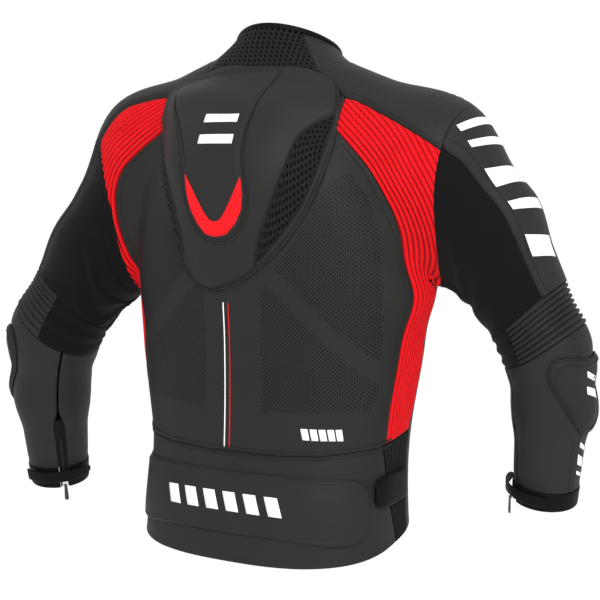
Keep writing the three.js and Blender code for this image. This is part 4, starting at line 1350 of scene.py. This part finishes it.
def elbow(side):
    """The elbow's ring: pleated leather outside and stretch fabric inside."""
    rows = np.linspace(0, 1, PLEATS * 10 + 1)[:, None]
    for name, first, last, look in (
        ("pleats", PLEATS_START, PLEATS_END, "leather"),
        ("stretch", PLEATS_END, PLEATS_START + 360, "stretch"),
    ):
        phi = first + (last - first) * shares(0.17, 0.002)[None, :]
        s = gusset_top(phi) + (gusset_end(phi) - gusset_top(phi)) * rows
        grid = sleeve_point(side, s, phi)
        if name == "pleats":
            swell = 1 + 0.25 * noise(grid, 0.03, 11)
            lift = -0.0018 + 0.0040 * swell * np.abs(np.sin(np.pi * PLEATS * rows)) ** 0.75
        else:
            lift = -0.0008 + 0.0012 * np.sin(5 * np.pi * rows + 2 * noise(grid, 0.04, 19))
        skin(f"elbow_{name}_{side}", grid, look, f"arm_{side}", lift=lift, rim=0.001,
             body=f"upper_arm_{side}", replaces=[f"elbow_gusset_{side}"], bend=elbow_bend(side))


def open_tube(side, top, bottom, length, step):
    """A tube of the forearm, open along the cuff's zip. top and bottom turn an angle into a station."""
    rows = shares(length, step)[:, None]
    columns = shares(0.30, step)[None, :]
    guess = ZIP_ANGLE + 360 * columns
    s = top(guess) + (bottom(guess) - top(guess)) * rows
    half = zip_half_angle(s)
    phi = ZIP_ANGLE + half + (360 - 2 * half) * columns
    return sleeve_point(side, s, phi), s, phi


FOREARM_SEAM = 22  # angle of the seam that runs from the elbow pad to the cuff
INNER_SEAM = 265  # angle of the seam inside the forearm
METRES_PER_DEGREE = 0.0009  # round the forearm


def level(station):
    """An edge that stays at one station all round."""
    return lambda angle: np.full_like(angle, station)


def forearm(side):
    body = f"forearm_{side}"
    grid, s, phi = open_tube(side, gusset_end, level(CUFF_START), 0.20, 0.0035)
    far = edge_distances(grid)
    seams = 0
    for angle in (FOREARM_SEAM, INNER_SEAM):
        away = np.abs(np.mod(phi - angle + 180, 360) - 180) * METRES_PER_DEGREE
        valley = 0.0016 * np.exp(-((away / 0.0016) ** 2))
        shoulder = 0.0006 * np.exp(-(((away - 0.006) / 0.003) ** 2))
        seams = seams + valley - shoulder
    slack = smoothstep(phi, 200, 240) * smoothstep(-phi, -340, -290) * smoothstep(-s, -4.2, -3.2)
    folds = 0.0016 * slack * np.sin(far["top"] / 0.007 + 2 * noise(grid, 0.04, 13))
    lift = folds - seams - groove(far["bottom"], 0.008)
    skin(f"forearm_{side}_panel", grid, "leather", body, lift=lift, body=body,
         replaces=[f"forearm_leather_{side}"])
    grid = open_tube(side, level(CUFF_START), level(CUFF_END), 0.03, 0.003)[0]
    skin(f"cuff_{side}", grid, "binding", body, lift=0.0012, thickness=0.003, body=body,
         replaces=[f"cuff_band_{side}"])


# Outline of the elbow pad in stations and degrees, from its top round the back and down.
ELBOW_PAD = [(3.20, -4), (3.14, 18), (3.05, 42), (3.07, 58), (3.22, 66), (3.48, 60), (3.78, 47), (4.05, 34),
             (4.24, 18), (4.28, 0), (4.18, -18), (3.95, -32), (3.64, -42), (3.38, -46), (3.24, -38),
             (3.20, -22)]
PAD_MIDDLE = (3.62, 8.0)


def elbow_pad(side):
    body = f"forearm_{side}"
    outline = closed_curve(np.array(ELBOW_PAD, float) * [50, 1], 180) / [50, 1]
    seat = 1 - shares(0.055, 0.003)[:-6]
    chart = outline[None] * seat[:, None, None] + np.array(PAD_MIDDLE) * (1 - seat[:, None, None])
    grid = sleeve_point(side, chart[..., 0], chart[..., 1])
    down = np.linalg.norm(np.diff(grid, axis=0), axis=-1)
    depth = np.concatenate([np.zeros((1, grid.shape[1])), np.cumsum(down, axis=0)])
    lift = 0.0046 * smoothstep(depth, -0.0005, 0.005) + 0.0018 * smoothstep(depth, 0.012, 0.03)
    lift = lift - groove(depth, 0.010)
    normal = unit(slope(grid))
    top = grid + normal * (0.0012 + lift)[..., None]
    bottom = grid + normal * 0.0004
    points, faces = pad_mesh(top, bottom)
    obj = piece(f"elbow_cup_{side}", points, FaceList(faces), "leather", body,
                replaces=[f"elbow_pad_{side}"])
    swell(obj, points, depth < 0.012, 2.0, 0.002, body)


def sleeve_line(side, points):
    """Points of a sleeve from stations and angles."""
    p = np.array(points, float)
    return sleeve_point(side, p[:, 0], p[:, 1])


def cuff_zip(side):
    """The cuff's zip: tape under the opening and two rows of teeth."""
    body = f"forearm_{side}"
    s = np.linspace(ZIP_START + 0.1, CUFF_END - 0.02, 60)[:, None]
    v = np.linspace(-1, 1, 9)[None, :]
    grid = sleeve_point(side, s, ZIP_ANGLE + v * (zip_half_angle(s) - 0.6))
    normal = unit(slope(grid))
    slab(f"cuff_zip_tape_{side}", grid - normal * 0.0012, grid - normal * 0.0022, "tape", body=body,
         replaces=[f"cuff_zip_{side}"])
    line = sleeve_line(side, np.stack([np.linspace(4.75, 5.98, 60), np.full(60, ZIP_ANGLE)], -1))
    zip_teeth(f"cuff_zip_teeth_{side}", line, body, 0.0006)


def zip_teeth(name, line, body, sink):
    """Two rows of teeth that mesh along a line of the outer surface, a little below it."""
    teeth = Merge()
    count = int(lengths(line)[-1] / 0.0012)
    points = along(line, np.linspace(0, 1, count))
    normals = unit(slope(points))
    ways = unit(np.gradient(points, axis=0))
    for k, (p, n, w) in enumerate(zip(points, normals, ways)):
        side_way = np.cross(w, n) * (1 if k % 2 else -1)
        start = p - n * sink + side_way * -0.0006
        spine = start + np.outer([0.0, 0.0028], side_way)
        teeth.add(*sweep(spine, np.tile(n, (2, 1)), 0.00065, 1.2, sides=4))
    teeth.make(name, "dark_metal", body)


STRAP_HINGE_Y = -0.058  # where the waist strap's free part begins


def straps(side):
    """The straps of the cuff and the waist. The waist strap's root is sewn to the body behind its hinge."""
    phi = np.concatenate([70 + np.array([0, 1.2, 3.5, 8]), np.linspace(14, 120, 40) + 70])
    width = np.interp(phi, [70, 71.2, 73.5, 78, 174, 182, 187, 190], [1, 1, 1, 1, 1, 0.86, 0.6, 0.3])
    v = np.linspace(-1, 1, 15)[:, None]
    s = 5.64 + 0.14 * v * width[None, :]
    cuff_tab = sleeve_point(side, s, phi[None, :] + 0 * v)
    strap_sheet(f"cuff_tab_{side}", cuff_tab, f"cuff_strap_{side}", 0.0100, [f"cuff_strap_{side}"])
    strap = f"waist_strap_{side}"
    for name, body, y, nodes in (
        (f"waist_tab_{side}", strap, np.linspace(-0.008, STRAP_HINGE_Y, 32), [strap]),
        (f"waist_tab_root_{side}", "torso", np.linspace(STRAP_HINGE_Y, -0.082, 12), []),
    ):
        share = (y + 0.008) / -0.072
        width = np.interp(share, [0, 0.06, 0.14, 0.26, 1], [0.55, 0.80, 0.94, 1.0, 0.94])
        hints = np.stack([SIGN[side] * (0.177 + 0.008 * share) + 0 * v, y + 0 * v,
                          -0.536 + 0.004 * share + 0.020 * v * width], -1)
        strap_sheet(name, settle(hints), body, 0.0052, nodes)


def strap_sheet(name, grid, body, height, nodes):
    far = edge_distances(grid)
    near = np.minimum(far["top"], far["bottom"])
    normal = unit(slope(grid))
    lift = height - groove(near, 0.003, 0.001, 0.0004) - rounding(near, 0.001, 0.0008)
    top = grid + normal * lift[..., None]
    slab(name, top, grid + normal * (height - 0.0022), "binding", body=body, replaces=nodes)


# ---------------------------------------------------------------- front fastening, tab and lining
def front_fastening():
    z = np.linspace(-0.072, -0.578, 120)
    line = settle(np.stack([0 * z, 0 * z - 0.175, z], -1))
    grid = line[:, None] + np.array([1.0, 0, 0]) * np.linspace(-0.0115, 0.0115, 9)[None, :, None]
    down = np.array([0, 1.0, 0])
    slab("front_zip_tape", grid + down * 0.0026, grid + down * 0.0042, "tape", replaces=["front_zip"])
    zip_teeth("front_zip_teeth", line, "torso", 0.0016)
    share = np.linspace(0, 1, 30)
    v = np.linspace(-1, 1, 13)[:, None]
    width = np.interp(share, [0, 0.8, 0.9, 1], [1, 1, 0.8, 0.35])
    x = 0.020 - 0.046 * share
    hints = np.stack([x + 0 * v, 0 * x - 0.156 + 0 * v, -0.059 + 0.007 * v * width], -1)
    strap_sheet("collar_closing_tab", settle(hints), "collar_tab", 0.0050, ["collar_tab"])


def lining_sheet(name, rows, depth, node):
    """A sheet of lining through rows of points, hung at a depth below the outer surface."""
    rails = [spline([row[k] for row in rows], 60) for k in range(len(rows[0]))]
    grid = np.stack([spline([rail[i] for rail in rails], 40) for i in range(61)])
    grid = settle(grid)
    normal = unit(slope(grid))
    base = grid - normal * (depth + 0.0006 * noise(grid, 0.05, 17))[..., None]
    obj = slab(name, base, base - normal * 0.0008, "lining", replaces=[node])


def lining():
    back = back_line([
        [[-80, -24, -24], [0, -3, -12], [80, -24, -24]],
        [[-190, -10, -120], [0, 55, -120], [190, -10, -120]],
        [[-200, -40, -240], [0, 56, -240], [200, -40, -240]],
        [[-188, -70, -400], [0, 48, -400], [188, -70, -400]],
        [[-178, -70, -595], [0, 64, -612], [178, -70, -595]]])
    lining_sheet("lining_rear", back, 0.0205, "lining_back")
    front = np.array([
        [[16, -165, -84], [50, -158, -84], [76, -140, -84]],
        [[16, -170, -130], [110, -160, -130], [182, -130, -135]],
        [[16, -172, -240], [120, -165, -240], [200, -100, -245]],
        [[16, -175, -400], [120, -165, -400], [186, -100, -400]],
        [[16, -180, -575], [110, -170, -575], [176, -100, -585]]])
    for side in SIDES:
        lining_sheet(f"lining_forepart_{side}", mirror(front, side), 0.0095, f"lining_front_{side}")


def kept_nodes():
    """CAD pieces whose shape is right as it is get their looks."""
    kept = {"back_protector": "foam", "trouser_zip": "tape", "hanger_loop": "tape", "front_slider": "metal",
            "front_pull": "metal"}
    for side in SIDES:
        kept[f"shoulder_armor_{side}"] = "foam"
        kept[f"elbow_armor_{side}"] = "foam"
        kept[f"cuff_slider_{side}"] = "metal"
        kept[f"cuff_pull_{side}"] = "dark_metal"
    for name, look in kept.items():
        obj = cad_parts[name]
        obj.data.materials.clear()
        obj.data.materials.append(LOOKS[look])


# ---------------------------------------------------------------- piping, stitching and prints
INLAY_MIDDLE = np.array([0.005, 0.06, -0.12])


def body_trim():
    cords, thread = PIPING["torso"], THREADS["torso"]
    ends = [mirror([178, -40, -474], side) for side in ("right", "left")]
    waist_line = run_along([ends[0], *WAIST_LINE, ends[1]], 0.01, WAIST_PLANE)
    for drop in (0.0035, -0.0035):
        piping(cords, waist_line + [0, 0, drop], "torso", 0.0014, 0.0)
    for side in SIDES:
        inner = SEAMS[side]["red_inner"][4:-3]
        sign = SIGN[side]
        stitches(thread, inner[::6] + [-sign * 0.0085, 0, 0], "torso")
        stitches(thread, SEAMS[side]["red_top"][3:-3:6] + [0, -0.0065, 0.0035], "torso")
    hump_edge = closed_curve(HUMP_OUTLINE, 160)
    lower = hump_edge[flat_xz(hump_edge)[:, 1] < -0.03]
    piping(cords, lower[::4], "torso", 0.0022, 0.0006)
    inlay = spline(INLAY, 90)[2:-2:3]
    piping(cords, inlay, "torso", 0.0014, 0.0004)
    stitches(thread, inlay + unit(inlay - INLAY_MIDDLE) * 0.006, "torso")
    for side in SIDES:
        piping(cords, INSERT_INNER[side], "torso", 0.0014, 0.0008)
    pad_edge = np.concatenate([LUMBAR_OUTLINE, LUMBAR_OUTLINE[:1]])
    stitches(thread, along(pad_edge, np.linspace(0, 1, 60)) * [0.945, 1, 1], "torso")


def slash(into, corners):
    """A printed bar on the body between four corners."""
    prints(into, back_line(corners), "torso")


def body_prints():
    """Plain prints: two bars on the hump, two stripes down the spine and slanted bars at the waist."""
    white = PRINTS["torso"]
    for z in (-70, -100):
        slash(white, [[32, 50, z], [-16, 50, z], [-16, 50, z - 12], [32, 50, z - 12]])
    slash(white, [[13, 50, -300], [11.5, 50, -300], [10.5, 52, -484], [12, 52, -484]])
    slash(RED_PRINTS, [[5.5, 50, -300], [4.3, 50, -300], [3.2, 52, -484], [4.6, 52, -484]])
    for k in range(5):
        x = -94 - 12 * k
        slash(white, [[x, 40, -452], [x - 8, 36, -452], [x - 11, 36, -466], [x - 3, 40, -466]])
    for k in range(6):
        x = 92 - 30 * k
        slash(white, [[x + 4, 60, -538], [x - 14, 60, -538], [x - 22, 60, -562], [x - 4, 60, -562]])


# White bars down the outside of each sleeve: the station where each starts and its length.
SLEEVE_BARS = {
    "arm": [(0.24, 0.14), (0.56, 0.09), (0.88, 0.20), (1.26, 0.09), (1.58, 0.22)],
    "forearm": [(3.44, 0.08), (3.66, 0.14), (4.56, 0.08), (4.78, 0.20), (5.12, 0.08)],
}
BAR_EDGES = {"arm": (-10, 30), "forearm": (-8, 12)}
BAR_SLANT = 0.14


def sleeve_prints(side):
    for part, group in (("arm", f"arm_{side}"), ("forearm", f"forearm_{side}")):
        low, high = BAR_EDGES[part]
        for start, length in SLEEVE_BARS[part]:
            end = start + length
            corners = [(start, low), (start - BAR_SLANT, high), (end - BAR_SLANT, high), (end, low)]
            prints(PRINTS[group], sleeve_line(side, corners), group)


def sleeve_trim(side):
    upper, lower = f"arm_{side}", f"forearm_{side}"
    s = np.linspace(0.05, 2.05, 24)
    for table, inset in ((BAND_REAR, -8.0), (BAND_FRONT, 8.0)):
        line = sleeve_point(side, s, soft_edge(table, s) + inset)
        stitches(THREADS[upper], line, upper)
    outline = closed_curve(np.array(ELBOW_PAD, float) * [50, 1], 120) / [50, 1]
    for grow, radius in ((0.99, 0.0013), (0.86, 0.0011)):
        chart = (outline - PAD_MIDDLE) * grow + PAD_MIDDLE
        line = sleeve_point(side, chart[:, 0], chart[:, 1])
        points, normals = drape(line, lower, 0.0002)
        PIPING[lower].add(*sweep(points, normals, radius, loop=True))
    s = np.linspace(4.35, 5.4, 16)
    stitches(THREADS[lower], sleeve_point(side, s, np.full(16, FOREARM_SEAM + 6.0)), lower)


def make_trim():
    """Turns the collected piping, stitches and prints into one piece for each body they lie on."""
    for group in PIPING:
        arm = group.startswith("arm_")
        side = group.split("_")[-1]
        body = "torso" if group == "torso" or arm else group
        bend = shoulder_bend(side) if arm else None
        for kind, merge, look in (("piping", PIPING[group], "leather"),
                                  ("stitching", THREADS[group], "thread"),
                                  ("print", PRINTS[group], "print")):
            if merge.count:
                merge.make(f"{kind}_{group}", look, body, bend=bend)
    RED_PRINTS.make("red_print_torso", "red_print", "torso")


# ---------------------------------------------------------------- building
back_panel()
waist()
for side in SIDES:
    red_panel(side)
    yoke(side)
    front_panel(side)
hump()
lumbar_pad()
collar()
inlay_panel()
red_chevron()
for side in SIDES:
    mesh_insert(side)
    upper_sleeve(side)
    elbow(side)
    forearm(side)
    elbow_pad(side)
    cuff_zip(side)
    straps(side)
front_fastening()
lining()
kept_nodes()
body_trim()
body_prints()
for side in SIDES:
    sleeve_trim(side)
    sleeve_prints(side)
make_trim()


# ---------------------------------------------------------------- camera, light and floor
AIM = Vector((-0.027, -0.070, -0.306))
AZIMUTH = np.radians(211)
ELEVATION = np.radians(6)
DISTANCE = 1.9
FLOOR = -1.35
LENS = 87


def camera():
    level_share = np.cos(ELEVATION)
    back = Vector((np.sin(AZIMUTH) * level_share, -np.cos(AZIMUTH) * level_share, np.sin(ELEVATION)))
    data = bpy.data.cameras.new("camera")
    data.lens = LENS
    data.sensor_width = 36
    obj = bpy.data.objects.new("camera", data)
    obj.location = AIM + back * DISTANCE
    obj.rotation_euler = back.to_track_quat("Z", "Y").to_euler()
    bpy.context.scene.collection.objects.link(obj)
    bpy.context.scene.camera = obj


def area_light(name, place, size, power):
    data = bpy.data.lights.new(name, "AREA")
    data.shape = "DISK"
    data.size = size
    data.energy = power
    obj = bpy.data.objects.new(name, data)
    obj.location = place
    obj.rotation_euler = (Vector(place) - AIM).to_track_quat("Z", "Y").to_euler()
    bpy.context.scene.collection.objects.link(obj)


def studio():
    world = bpy.data.worlds.new("studio")
    world.use_nodes = True
    world.node_tree.nodes["Background"].inputs["Color"].default_value = (1, 1, 1, 1)
    world.node_tree.nodes["Background"].inputs["Strength"].default_value = 1.0
    bpy.context.scene.world = world
    bpy.context.scene.view_settings.view_transform = "Standard"
    area_light("key", (-1.6, 1.8, 1.2), 1.2, 60)
    bpy.ops.mesh.primitive_plane_add(size=60, location=(0, 0, FLOOR))
    floor = bpy.context.object
    floor.name = "floor"
    look = Nodes("floor", (1.0, 1.0, 1.0), 0.9, specular=0.0)
    floor.data.materials.append(look.material)


camera()
studio()
